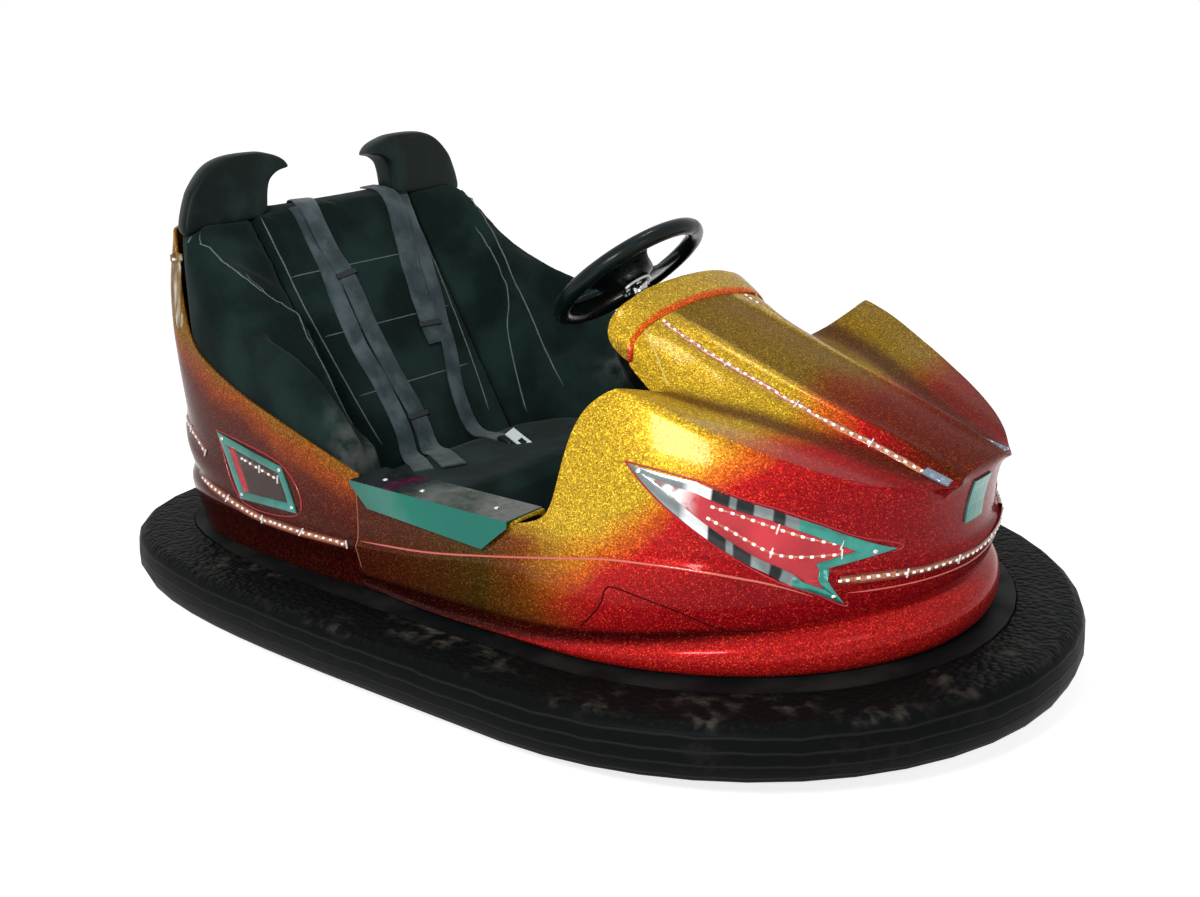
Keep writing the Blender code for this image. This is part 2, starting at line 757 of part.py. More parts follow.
# Arrow trim on the fender, as (x, z): tip, upper edge, upper barb, notch, lower barb, lower edge
ARROW = ((0.423, 0.508), (0.535, 0.495), (0.611, 0.472), (0.669, 0.444), (0.715, 0.402), (0.756, 0.358),
         (0.689, 0.338), (0.705, 0.282), (0.661, 0.308), (0.587, 0.372), (0.534, 0.413), (0.478, 0.461))
QUARTER = ((-0.594, 0.398), (-0.385, 0.367), (-0.344, 0.282), (-0.524, 0.274))
NOSE_TRIM_HALF = 0.03
NOSE_TRIM_Z = (0.37, 0.445)


def inner_loop(outline, width):
    """Move each side of an outline in by the width."""
    count = len(outline)
    area = sum(outline[i][0] * outline[(i + 1) % count][1] - outline[(i + 1) % count][0] * outline[i][1]
               for i in range(count))
    turn = 1.0 if area > 0 else -1.0
    moved = []
    for i in range(count):
        before = Vector(outline[i - 1])
        here = Vector(outline[i])
        after = Vector(outline[(i + 1) % count])
        first = (here - before).normalized()
        second = (after - here).normalized()
        normal_a = Vector((-first.y, first.x)) * turn
        normal_b = Vector((-second.y, second.x)) * turn
        bisector = (normal_a + normal_b).normalized()
        length = width / max(bisector.dot(normal_a), 0.35)
        point = here + bisector * length
        moved.append((point.x, point.y))
    return moved


def build_skin_trims(front, rear, mirror_metal, lens):
    """Arrow trims on the fenders, four-sided ones on the rear quarters, a plate on the nose."""
    low = (LENGTH / 2 - BODY_INSET, -NOSE_TRIM_HALF, NOSE_TRIM_Z[0])
    high = (LENGTH / 2, NOSE_TRIM_HALF, NOSE_TRIM_Z[1])
    skin_panel("nose_trim", front, block(low, high), TRIM_THICKNESS, mirror_metal)
    for side, word in ((1, "left"), (-1, "right")):
        reach = sorted((side * 0.10, side * WIDTH / 2))
        for stem, outline, body in (("arrow", ARROW, front), ("quarter", QUARTER, rear)):
            inner = inner_loop(outline, TRIM_BAND)
            pane = inner_loop(inner, LENS_GAP)
            frame = ring_prism(outline, inner, *reach)
            skin_panel(stem + "_trim_" + word, body, frame, TRIM_THICKNESS, mirror_metal)
            window = prism_y(pane, *reach)
            skin_panel(stem + "_lens_" + word, body, window, LENS_THICKNESS, lens)


# Sill plates: x, how far the outer flange hangs down
SILL_PLATE = ((-0.174, 0.006), (-0.131, 0.044), (0.149, 0.060), (0.210, 0.010))
PLATE_THICKNESS = 0.002


def build_sill_plates(mirror_metal):
    top = SILL_TOP + 0.004 + SEAT_GAP
    for side, word in ((1, "left"), (-1, "right")):
        loops = []
        for x, hang in SILL_PLATE:
            outer = half_width(x, BODY_INSET - 0.020)
            inner = half_width(x, BODY_INSET + SILL_WIDTH - 0.004)
            section = ((outer, top - hang), (outer + PLATE_THICKNESS, top - hang),
                       (outer + PLATE_THICKNESS, top + PLATE_THICKNESS), (inner, top + PLATE_THICKNESS),
                       (inner, top), (outer, top))
            loops.append([(x, side * y, z) for y, z in section])
        place("sill_plate_" + word, loft(loops), mirror_metal)


# Seat

LINING_GAP = 0.004          # between the upholstery and the shell's inside
LINING = [rear_plan(share, *(change + SHELL + LINING_GAP for change in REAR_HIGH_ROWS[-1][:2]))
          for share in REAR_SHARES]


def lining_width(x):
    """Half width at x of the line that the upholstery keeps inside of."""
    for ahead, behind in zip(LINING, LINING[1:]):
        if behind.x <= x <= ahead.x:
            return mix(behind.y, ahead.y, (x - behind.x) / (ahead.x - behind.x))
    return LINING[0].y


def lining_tail(y):
    """Where that line crosses y behind the seat."""
    for ahead, behind in zip(LINING, LINING[1:]):
        if behind.y <= y <= ahead.y and ahead.x < TAIL_FROM:
            return mix(behind.x, ahead.x, (y - behind.y) / (ahead.y - behind.y))
    return LINING[-1].x


REAR_INSIDE_X = max(plan.x for plan in LINING if plan.y <= BACK_HALF + 0.02)
BOLSTER_REAR_HALF = 0.33
BOLSTER_REAR_X = lining_tail(BOLSTER_REAR_HALF + 0.02)


def back_x(z):
    """Front face of the seat back at a height."""
    return mix(BACK_FOOT_X, BACK_TOP_X, (z - BACK_FOOT_Z) / (BACK_TOP_Z - BACK_FOOT_Z))


def back_z(x):
    """Height of the seat back's front face at x."""
    return mix(BACK_FOOT_Z, BACK_TOP_Z, (x - BACK_FOOT_X) / (BACK_TOP_X - BACK_FOOT_X))


WAIST_X = -0.20             # the cushion narrows between the bolsters behind this
WAIST_TOP = mix(CUSHION_FRONT_Z, CUSHION_REAR_Z, 0.45)
CUSHION_TOPS = ((BACK_FOOT_X, CUSHION_REAR_Z), (WAIST_X, WAIST_TOP), (CUSHION_FRONT - 0.03, CUSHION_FRONT_Z))


def cushion_top(x):
    """Height of the seat cushion's top at x."""
    return look_up(CUSHION_TOPS, x)


# Side bolsters: x, height at the shell, half width and height of the crest
BOLSTER = ((-0.700, 0.776, 0.365, 0.793), (-0.655, 0.735, 0.388, 0.763), (-0.610, 0.692, 0.372, 0.731),
           (-0.566, 0.660, 0.351, 0.698), (-0.526, 0.640, 0.330, 0.665), (-0.485, 0.622, 0.307, 0.634),
           (-0.454, 0.610, 0.305, 0.578), (-0.418, 0.600, 0.303, 0.519), (-0.363, 0.585, 0.300, 0.420),
           (-0.300, 0.553, 0.330, 0.415), (-0.225, 0.480, 0.364, 0.410), (-0.200, 0.440, 0.380, 0.385))
# Half width of the gap between the bolsters, by x
BOLSTER_INNER = ((-0.420, BACK_HALF), (-0.363, 0.280), (-0.300, 0.312), (WAIST_X, CUSHION_HALF))
LINING_THICKNESS = 0.034
TUCK_X = -0.345


def build_seat(cloth, panel):
    deck_low = DECK_TOP - DECK_WALL
    pan = PAN_TOP + SEAT_GAP
    deck = ((DECK_REAR, pan), (DECK_REAR + DECK_WALL, pan), (DECK_REAR + DECK_WALL, deck_low),
            (DECK_FRONT - DECK_WALL, deck_low), (DECK_FRONT - DECK_WALL, pan), (DECK_FRONT, pan),
            (DECK_FRONT, DECK_TOP), (DECK_REAR, DECK_TOP))
    place("seat_base", prism_y(deck, -DECK_HALF, DECK_HALF), panel)
    low = DECK_TOP + SEAT_GAP
    rear_top = REAR_INSIDE_X + SEAT_GAP
    half = BACK_HALF - SEAT_GAP
    back = ((back_x(low), low), (BACK_TOP_X, BACK_TOP_Z), (rear_top, BACK_TOP_Z),
            (rear_top, BACK_TOP_Z - 0.06), (back_x(low) - BACK_THICKNESS, low))
    place("seat_back", prism_y(back, -half, half), cloth)

    gap = 0.002
    front_half = CUSHION_HALF - gap
    # x (none where it leans on the seat back), half width, height of the top
    sections = [(CUSHION_FRONT, front_half - 0.01, CUSHION_FRONT_Z - 0.02),
                (CUSHION_FRONT - 0.03, front_half, CUSHION_FRONT_Z)]
    for x in (WAIST_X, BOLSTER_INNER[2][0], TUCK_X):
        sections.append((x, look_up(BOLSTER_INNER, x) - gap, cushion_top(x)))
    sections.append((None, BACK_HALF - gap, CUSHION_REAR_Z))
    loops = []
    for x, width, top in sections:
        loop = []
        for y, z in ((-width, low), (width, low), (width, top - 0.012), (width - 0.02, top),
                     (0.02 - width, top), (-width, top - 0.012)):
            loop.append((back_x(z) + gap if x is None else x, y, z))
        loops.append(loop)
    place("seat_cushion", loft(loops), cloth)

    floor = CUSHION_REAR_Z + 0.02
    rear = (BOLSTER_REAR_X, BOLSTER[0][1], BOLSTER_REAR_HALF - 0.06, BOLSTER[0][3])
    for side, word in ((1, "left"), (-1, "right")):
        loops = []
        for x, edge, crest_y, crest_z in (rear, *BOLSTER):
            outer = lining_width(x)
            inner = look_up(BOLSTER_INNER, x)
            foot = min(max(back_z(x), floor), crest_z - 0.006)
            valley = crest_z + 0.1 * (edge - crest_z) if edge > crest_z else (edge + crest_z) / 2
            section = ((inner, low), (outer, low), (outer, edge - 0.008), (outer - 0.012, edge),
                       (outer - LINING_THICKNESS, edge - 0.004 * (edge > crest_z)),
                       (outer - LINING_THICKNESS - 0.010, valley), (crest_y, crest_z), (inner, foot))
            loops.append([(x, side * y, z) for y, z in section])
        place("bolster_" + word, loft(loops), cloth)


# Headrest outline as (distance from the middle, height above the seat back)
HEADREST = ((0.402, 0.0), (0.380, 0.042), (0.326, 0.100), (0.285, 0.118), (0.235, 0.125), (0.134, 0.121),
            (0.104, 0.112), (0.090, 0.095), (0.124, 0.088), (0.148, 0.070), (0.160, 0.040), (0.160, 0.0))


HEADREST_ROOT = 0.20        # its sides draw in towards this as it goes back


def build_headrests(foam):
    low = BACK_TOP_Z + SEAT_GAP
    rear = BACK_TOP_X - HEADREST_DEPTH
    for side, word in ((1, "left"), (-1, "right")):
        loops = []
        for x, spread, height in ((rear, 0.78, 0.86), (rear + 0.022, 0.92, 0.96), (BACK_TOP_X - 0.014, 1.0, 1.0),
                                  (BACK_TOP_X, 0.97, 0.96)):
            loop = []
            for reach, rise in HEADREST:
                loop.append((x, side * mix(HEADREST_ROOT, reach, spread), low + rise * height))
            loops.append(loop)
        place("headrest_" + word, loft(loops), foam)


BELT_TAIL = 0.060
TONGUE_X = (-0.27, -0.205)
TONGUE_Y = (0.0, 0.045)
TONGUE_THICKNESS = 0.010
BELT_Y = {"left": 0.105, "right": -0.115}


def build_belts(webbing, steel):
    """Two straps over the seat back's top edge, and the tongue on the seat."""
    lean = Vector((BACK_TOP_Z - BACK_FOOT_Z, BACK_FOOT_X - BACK_TOP_X)).normalized()
    upward = Vector((0.0, 1.0))
    for word, y in BELT_Y.items():
        path = [(Vector((BACK_TOP_X - BELT_TAIL, BACK_TOP_Z)), upward),
                (Vector((BACK_TOP_X, BACK_TOP_Z)), (upward + lean).normalized())]
        for step in range(1, 7):
            z = mix(BACK_TOP_Z, CUSHION_REAR_Z + 0.03, step / 6)
            path.append((Vector((back_x(z), z)), lean))
        loops = []
        for seat, out in path:
            near = seat + out * SEAT_GAP * 2
            far = seat + out * (SEAT_GAP * 2 + BELT_THICKNESS)
            corners = ((near, -1), (near, 1), (far, 1), (far, -1))
            loops.append([(at.x, y + side * BELT_WIDTH / 2, at.y) for at, side in corners])
        place("belt_" + word, loft(loops), webbing)
    loops = []
    for x in TONGUE_X:
        low = cushion_top(x) + SEAT_GAP
        high = low + TONGUE_THICKNESS
        loops.append([(x, TONGUE_Y[0], low), (x, TONGUE_Y[1], low), (x, TONGUE_Y[1], high), (x, TONGUE_Y[0], high)])
    place("belt_tongue", loft(loops), steel)


# Steering

def along_column(distance, radial=0.0, angle=0.0):
    """Point below the steering wheel's centre by a distance along its column."""
    down = Vector((math.cos(STEER_TILT), 0.0, -math.sin(STEER_TILT)))
    across = Vector((0.0, 1.0, 0.0))
    up = down.cross(across)
    centre = Vector(STEER_CENTRE)
    return centre + down * distance + (up * math.cos(angle) + across * math.sin(angle)) * radial


def column_solid(profile, steps):
    """Revolve (radius, distance) pairs about the column; a zero radius caps it."""
    loops = []
    for radius, distance in profile:
        loops.append([along_column(distance, radius, 2 * math.pi * step / steps) for step in range(steps)])
    return loft(loops)


RIM_STEPS = 32
RIM_SIDES = 8
DISH = 0.045                # spokes reach back from the rim to the hub
SPOKE_ANGLES = tuple(math.radians(angle) for angle in (-40.0, 80.0, 200.0))


def build_steering_wheel(rubber, steel):
    loops = []
    for step in range(RIM_STEPS):
        angle = 2 * math.pi * step / RIM_STEPS
        loop = []
        for side in range(RIM_SIDES):
            turn = 2 * math.pi * side / RIM_SIDES
            radial = STEER_RADIUS + STEER_RIM * math.cos(turn)
            loop.append(along_column(STEER_RIM * math.sin(turn), radial, angle))
        loops.append(loop)
    wheel = place("steering_wheel", loft(loops, ring=True), rubber, STEER_CENTRE)
    parts = []
    hub = column_solid(((0.040, 0.018), (0.048, 0.026), (0.048, DISH + 0.004), (0.032, DISH + 0.014)), 24)
    parts.append(cutter("wheel_hub", hub))
    for number, angle in enumerate(SPOKE_ANGLES):
        loops = []
        for radial, depth, half, thick in ((0.030, 0.040, 0.030, 0.008), (0.085, 0.026, 0.022, 0.006),
                                           (STEER_RADIUS, 0.0, 0.018, 0.005)):
            base = along_column(0.0, 1.0, angle) - along_column(0.0)
            cross = along_column(0.0, 1.0, angle + math.pi / 2) - along_column(0.0)
            loop = []
            for across_way, depth_way in ((-1, -1), (1, -1), (1, 1), (-1, 1)):
                centre = along_column(depth + depth_way * thick)
                loop.append(centre + base * radial + cross * across_way * half)
            loops.append(loop)
        parts.append(cutter("wheel_spoke_" + str(number), loft(loops)))
    combine(wheel, parts, "UNION")
    start = DISH + 0.014 + SEAT_GAP
    cone = ((0.030, start), (0.030, start + 0.010), (0.017, start + 0.040), (SHAFT_RADIUS, start + 0.046),
            (SHAFT_RADIUS, SHAFT_LENGTH))
    place("steering_shaft", column_solid(cone, 16), steel, STEER_CENTRE)


DASH_WALL = 0.006
DASH_SET_BACK = 0.016       # the dash lies this far inside the cowl's rear edge
DASH_FOOT = ((0.168, 0.540), (0.090, 0.478))
BUSH_WALL = 0.007
BUSH_FROM = 0.175           # along the column, from the wheel's centre
BUSH_TO = 0.255


def build_dash(panel, steel):
    """Dash panel inside the cowl, and the bush that guides the shaft."""
    loops = []
    for x in (COWL_REAR + DASH_SET_BACK, COWL_REAR + DASH_SET_BACK + DASH_WALL):
        arch = neck_line(x)
        half = [(DASH_FOOT[1][0], DASH_FOOT[1][1]), DASH_FOOT[0]] + arch
        loops.append([(x, y, z) for y, z in both_sides(half)])
    dash = place("dash_panel", loft(loops), panel)
    bore = SHAFT_RADIUS + BORE_GAP
    outer = bore + BUSH_WALL
    hole = column_solid(((outer + SEAT_GAP, BUSH_FROM - 0.05), (outer + SEAT_GAP, BUSH_TO + 0.05)), 16)
    combine(dash, [cutter("dash_hole", hole)], "DIFFERENCE")
    loops = []
    for step in range(16):
        angle = 2 * math.pi * step / 16
        loops.append([along_column(distance, radius, angle) for radius, distance in
                      ((bore, BUSH_FROM), (outer, BUSH_FROM), (outer, BUSH_TO), (bore, BUSH_TO))])
    place("column_bush", loft(loops, ring=True), steel)


# Drive unit

def build_drive(paint, steel, rubber, motor_paint):
    centre = (DRIVE_X, 0.0, DRIVE_RADIUS)
    half = TOWER_HALF
    floor = PAN_TOP + SEAT_GAP
    top_low = TOWER_TOP - TOWER_WALL
    outer = block((DRIVE_X - half, -half, floor), (DRIVE_X + half, half, TOWER_TOP))
    inside = block((DRIVE_X - half + TOWER_WALL, -half + TOWER_WALL, floor - 0.01),
                   (DRIVE_X + half - TOWER_WALL, half - TOWER_WALL, top_low))
    tower = place("drive_tower", outer, paint)
    hole = disc(0.045, top_low - 0.01, TOWER_TOP + 0.01, 24, (DRIVE_X, 0.0, 0.0), "Z")
    combine(tower, [cutter("tower_inside", inside), cutter("tower_hole", hole)], "DIFFERENCE")

    ring_low = top_low - SEAT_GAP - 0.012
    ring = ((0.045, ring_low), (0.085, ring_low), (0.085, top_low - SEAT_GAP), (0.045, top_low - SEAT_GAP))
    place("turn_bearing", turned(ring, 32, (DRIVE_X, 0.0, 0.0), "Z"), steel)

    arm_in = DRIVE_TYRE_WIDTH / 2 + RUN_GAP
    arm_out = arm_in + 0.010
    plate_top = ring_low - SEAT_GAP
    plate_low = plate_top - 0.010
    pivot = (DRIVE_X, 0.0, DRIVE_RADIUS)
    fork = place("drive_fork", disc(0.085, plate_low, plate_top, 32, (DRIVE_X, 0.0, 0.0), "Z"), paint, pivot)
    parts = []
    shaft = disc(0.016, plate_top - 0.002, FORK_SHAFT_TOP, 16, (DRIVE_X, 0.0, 0.0), "Z")
    parts.append(cutter("fork_shaft", shaft))
    for number, side in enumerate((1, -1)):
        ys = sorted((side * arm_in, side * arm_out))
        low = (DRIVE_X - 0.028, ys[0], DRIVE_RADIUS - 0.028)
        high = (DRIVE_X + 0.028, ys[1], plate_low + 0.002)
        parts.append(cutter("fork_arm_" + str(number), block(low, high)))
    axle = disc(AXLE_RADIUS, -arm_out - 0.006, arm_out, 16, centre)
    parts.append(cutter("fork_axle", axle))
    combine(fork, parts, "UNION")

    motor_from = arm_out + SEAT_GAP
    motor = disc(MOTOR_RADIUS, motor_from, motor_from + MOTOR_LENGTH, 28, (DRIVE_X, 0.0, DRIVE_RADIUS + 0.012))
    place("drive_motor", motor, motor_paint, pivot)
    wheel_pieces("drive", centre, DRIVE_RADIUS, DRIVE_TYRE_WIDTH, steel, rubber)


def wheel_pieces(stem, centre, radius, width, steel, rubber):
    """Hub with a web and a rim, and a solid rubber tyre pressed on it."""
    half = width / 2
    seat = radius - TYRE_WALL
    bore = AXLE_RADIUS + BORE_GAP
    hub = ((bore, -half + 0.004), (0.024, -half + 0.004), (0.024, -0.007), (seat - 0.010, -0.007),
           (seat - 0.010, -half + 0.002), (seat, -half + 0.002), (seat, half - 0.002), (seat - 0.010, half - 0.002),
           (seat - 0.010, 0.007), (0.024, 0.007), (0.024, half - 0.004), (bore, half - 0.004))
    place(stem + "_hub", turned(hub, WHEEL_STEPS, centre), steel, centre)
    inner = seat + SEAT_GAP
    tyre = ((inner, -half + 0.002), (radius - 0.008, -half), (radius, -half + 0.008), (radius, half - 0.008),
            (radius - 0.008, half), (inner, half - 0.002))
    place(stem + "_tyre", turned(tyre, WHEEL_STEPS, centre), rubber, centre)


def build_rear_wheels(paint, steel, rubber):
    half = REAR_TYRE_WIDTH / 2
    for side, word in ((1, "left"), (-1, "right")):
        centre = (REAR_WHEEL_X, side * REAR_WHEEL_Y, REAR_RADIUS)
        wheel_pieces("rear_" + word, centre, REAR_RADIUS, REAR_TYRE_WIDTH, steel, rubber)
        near = half + RUN_GAP
        far = near + 0.008
        axle = disc(AXLE_RADIUS, -far - 0.006, far + 0.006, 16, centre)
        bracket = place("axle_" + word, axle, paint)
        plates = []
        for number, edge in enumerate((1, -1)):
            ys = sorted((edge * near, edge * far))
            low = (REAR_WHEEL_X - 0.045, centre[1] + ys[0], PAN_TOP + SEAT_GAP)
            high = (REAR_WHEEL_X + 0.045, centre[1] + ys[1], REAR_RADIUS + 0.024)
            plates.append(cutter("axle_plate_" + word + str(number), block(low, high)))
        combine(bracket, plates, "UNION")


def build_fittings(panel, steel, motor_paint):
    low = PAN_TOP + SEAT_GAP
    length, width, height = BATTERY_SIZE
    case = block((BATTERY_REAR, -width / 2, low), (BATTERY_REAR + length, width / 2, low + height))
    place("battery", case, motor_paint)
    pedal = ((0.0, 0.0), (0.13, 0.07), (0.125, 0.078), (-0.01, 0.012), (-0.01, 0.0))
    outline = [(PEDAL_X + x, low + z) for x, z in pedal]
    place("pedal", prism_y(outline, -PEDAL_Y - PEDAL_WIDTH / 2, PEDAL_WIDTH / 2 - PEDAL_Y), steel)


def main():
    for thing in list(bpy.data.objects):
        bpy.data.objects.remove(thing, do_unlink=True)
    rubber = finish("rubber", (0.02, 0.02, 0.02), 0.75)
    tyre = finish("tyre rubber", (0.03, 0.03, 0.03), 0.85)
    black_steel = finish("black steel", (0.03, 0.03, 0.03), 0.5, 0.4)
    bright_steel = finish("bright steel", (0.7, 0.7, 0.7), 0.2, 1.0)
    front_paint = finish("flake paint, gold to red", (0.55, 0.12, 0.02), 0.25, 0.7)
    rear_paint = finish("flake paint, dark orange", (0.25, 0.05, 0.01), 0.3, 0.7)
    gold_paint = finish("flake paint, gold", (0.75, 0.45, 0.05), 0.25, 0.7)
    cloth = finish("black upholstery", (0.02, 0.022, 0.024), 0.8)
    foam = finish("black moulded foam", (0.02, 0.02, 0.02), 0.6)
    webbing = finish("grey-blue webbing", (0.1, 0.12, 0.15), 0.7)
    mirror_metal = finish("mirror trim", (0.45, 0.6, 0.58), 0.08, 1.0)
    lens = finish("clear lens", (0.8, 0.75, 0.75), 0.05)
    panel = finish("black panel", (0.02, 0.02, 0.02), 0.5)
    motor_paint = finish("grey housing", (0.2, 0.2, 0.2), 0.5, 0.3)

    build_bumper(rubber, black_steel)
    build_floor(black_steel)
    build_frame(black_steel)
    front = build_front_shell(front_paint)
    rear = build_rear_shell(rear_paint)
    build_cowl(gold_paint)
    build_skin_trims(front, rear, mirror_metal, lens)
    build_sill_plates(mirror_metal)
    build_seat(cloth, panel)
    build_headrests(foam)
    build_belts(webbing, bright_steel)
    build_steering_wheel(foam, bright_steel)
    build_dash(panel, black_steel)
    build_drive(black_steel, bright_steel, tyre, motor_paint)
    build_rear_wheels(black_steel, bright_steel, tyre)
    build_fittings(panel, bright_steel, motor_paint)


main()
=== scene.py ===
# %% [markdown]
# # A bumper car, dressed over its CAD frame
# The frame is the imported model: real sizes, real joints, plain surfaces. This lesson gives it the looks
# of a well used fairground car: flake paint, worn rubber, light strips, mirror trims and a soft seat.
# Everything is in metres, with the nose along +X, the rider's left along +Y and the floor at zero.

# %% Load the frame
import copy
import math

import bmesh
import bpy
from mathutils import Matrix, Vector
from mathutils.bvhtree import BVHTree


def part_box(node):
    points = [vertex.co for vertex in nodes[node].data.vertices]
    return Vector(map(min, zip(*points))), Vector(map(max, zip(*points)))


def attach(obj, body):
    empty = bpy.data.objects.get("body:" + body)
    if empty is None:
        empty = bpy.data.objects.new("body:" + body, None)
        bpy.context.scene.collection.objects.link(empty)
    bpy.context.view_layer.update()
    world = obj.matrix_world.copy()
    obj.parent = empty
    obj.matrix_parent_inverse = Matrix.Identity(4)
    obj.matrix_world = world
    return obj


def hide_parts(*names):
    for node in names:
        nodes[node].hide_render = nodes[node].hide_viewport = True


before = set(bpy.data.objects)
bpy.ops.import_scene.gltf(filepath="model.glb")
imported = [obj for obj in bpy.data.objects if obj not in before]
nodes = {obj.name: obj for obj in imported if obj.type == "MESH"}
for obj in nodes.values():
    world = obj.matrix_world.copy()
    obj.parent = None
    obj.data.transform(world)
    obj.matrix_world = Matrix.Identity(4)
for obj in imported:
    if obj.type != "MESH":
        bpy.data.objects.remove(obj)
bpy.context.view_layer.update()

# %% [markdown]
# ## Camera
# The photograph was taken a little above the car's nose, from its right side. The lens and the place
# were worked out from the bumper's outline, so that what follows can be laid over the photograph.

# %% Camera
EYE = Vector((1.8088, -2.1807, 1.2334))
LOOK = Vector((-0.605, 0.7383, -0.2981)).normalized()
ROLL = math.radians(-1.708)
LENS = 45.04
UP = Vector((0.0, 0.0, 1.0))
AHEAD = Vector((1.0, 0.0, 0.0))

level = LOOK.cross(UP).normalized()
right = level * math.cos(ROLL) + level.cross(LOOK) * math.sin(ROLL)
camera = bpy.data.objects.new("camera", bpy.data.cameras.new("camera"))
bpy.context.scene.collection.objects.link(camera)
turn = Matrix((right, right.cross(LOOK), -LOOK)).transposed()
camera.matrix_world = Matrix.Translation(EYE) @ turn.to_4x4()
camera.data.sensor_width = 36.0
camera.data.lens = LENS
bpy.context.scene.camera = camera
print("camera at", [round(value, 3) for value in EYE])

# %% [markdown]
# ## How the finishes are made
# A finish is a graph of shader nodes. Written out, such a graph hides what it does, so a number or colour
# that nodes make is kept as a Value here: sums, products and soft steps of it add the next node, and the
# finishes below read like plain sums over the place on the car.

# %% Helpers for finishes
def feed(finish, socket, value):
    """Wire a socket to what nodes make, or write a plain number or a colour in it."""
    if isinstance(value, Value):
        finish.node_tree.links.new(value.socket, socket)
    else:
        socket.default_value = (*value, 1.0) if isinstance(value, tuple) else value


class Value:
    """A number or colour made by a new shader node, with its settings and what its inputs take."""

    def __init__(self, finish, kind, inputs=(), output=0, **settings):
        self.finish = finish
        self.node = finish.node_tree.nodes.new("ShaderNode" + kind)
        self.socket = self.node.outputs[output]
        for key, value in settings.items():
            setattr(self.node, key, value)
        for key, value in dict(inputs).items():
            feed(finish, self.node.inputs[key], value)

    def pick(self, output):
        """Another output of the same node."""
        other = copy.copy(self)
        other.socket = self.node.outputs[output]
        return other

    def parts(self):
        """The three numbers of a place or a colour."""
        split = Value(self.finish, "SeparateXYZ", {0: self})
        return split, split.pick(1), split.pick(2)

    def math(self, operation, first, second=0.0):
        return Value(self.finish, "Math", {0: first, 1: second}, operation=operation)

    def __add__(self, other):
        return self.math("ADD", self, other)

    def __sub__(self, other):
        return self.math("SUBTRACT", self, other)

    def __rsub__(self, other):
        return self.math("SUBTRACT", other, self)

    def __mul__(self, other):
        return self.math("MULTIPLY", self, other)

    def __truediv__(self, other):
        return self.math("DIVIDE", self, other)

    def __abs__(self):
        return self.math("ABSOLUTE", self)

    def most(self, other):
        return self.math("MAXIMUM", self, other)

    def sine(self):
        return self.math("SINE", self)

    def span(self, low, high, to_low=0.0, to_high=1.0):
        """Rescale from one stretch to another, softly, held at the ends."""
        inputs = {0: self, 1: low, 2: high, 3: to_low, 4: to_high}
        return Value(self.finish, "MapRange", inputs, interpolation_type="SMOOTHSTEP")

    def ramp(self, *stops):
        """A colour that changes along this number: stops of a place and a colour."""
        made = Value(self.finish, "ValToRGB", {0: self})
        marks = made.node.color_ramp.elements
        while len(marks) < len(stops):
            marks.new(0.5)
        for mark, (place, shade) in zip(marks, stops):
            mark.position = place
            mark.color = (*shade, 1.0)
        return made

    def mix(self, first, second):
        """The first colour where this number is 0, the second where it is 1."""
        return Value(self.finish, "Mix", {0: self, 6: first, 7: second}, 2, data_type="RGBA")

    def over(self, how, second):
        """This colour multiplied by another, or with it added."""
        return Value(self.finish, "Mix", {0: 1.0, 6: self, 7: second}, 2, data_type="RGBA", blend_type=how)


def dress(finish, **inputs):
    """Give sockets of a finish's shader what they take, by name."""
    for key, value in inputs.items():
        name = key.replace("_", " ").title().replace("Ior", "IOR")
        feed(finish, finish.node_tree.nodes["Principled BSDF"].inputs[name], value)


def start_finish(name, color, roughness, metallic=0.0, coat=0.0, shine=0.4, **more):
    """A new finish with its even values on the shader's own sockets."""
    finish = bpy.data.materials.new(name)
    finish.use_nodes = True
    finish.diffuse_color = (*color, 1.0)
    plain = {"base_color": color, "roughness": roughness, "metallic": metallic, "coat_weight": coat,
             "coat_roughness": 0.05, "coat_ior": 1.18, "specular_ior_level": shine}
    dress(finish, **{**plain, **more})
    return finish


def place_of(finish):
    """The place in the car's own frame, in metres."""
    return Value(finish, "TexCoord", output="Object")


def cloud(finish, scale, detail=2.0, vector=None):
    """Soft noise from 0 to 1."""
    return Value(finish, "TexNoise", {"Vector": vector or place_of(finish), "Scale": scale, "Detail": detail})


def bump(finish, height, distance, strength=1.0, under=None):
    """Tilt the light by a height in metres, over another bump if there is one."""
    inputs = {"Height": height, "Distance": distance, "Strength": strength}
    if under is not None:
        inputs["Normal"] = under
    return Value(finish, "Bump", inputs)


print("finish helpers ready")

# %% [markdown]
# ## Light, floor and background
# A studio: a strong lamp from the near side, a small one overhead and a weak one at the nose. The white
# that the camera sees comes from the world and the floor by Light Path, so that it adds no light to the
# car, and the floor keeps the car's shadow.

# %% World
FILL_STRENGTH = 0.24
FLOOR_GLOW = 0.80
FLOOR_SIZE = 24.0


def seen_white(finish):
    """1 where the camera, a mirror or clear plastic looks at it."""
    path = Value(finish, "LightPath", output="Is Camera Ray")
    return path.most(path.pick("Is Glossy Ray")).most(path.pick("Is Transmission Ray"))


world = bpy.data.worlds.new("studio")
world.use_nodes = True
bpy.context.scene.world = world
backdrop = world.node_tree.nodes["Background"]
feed(world, backdrop.inputs["Color"], (1.0, 1.0, 1.0))
feed(world, backdrop.inputs["Strength"], seen_white(world).span(0.0, 1.0, FILL_STRENGTH, 1.0))
print("white backdrop, fill light of", FILL_STRENGTH)


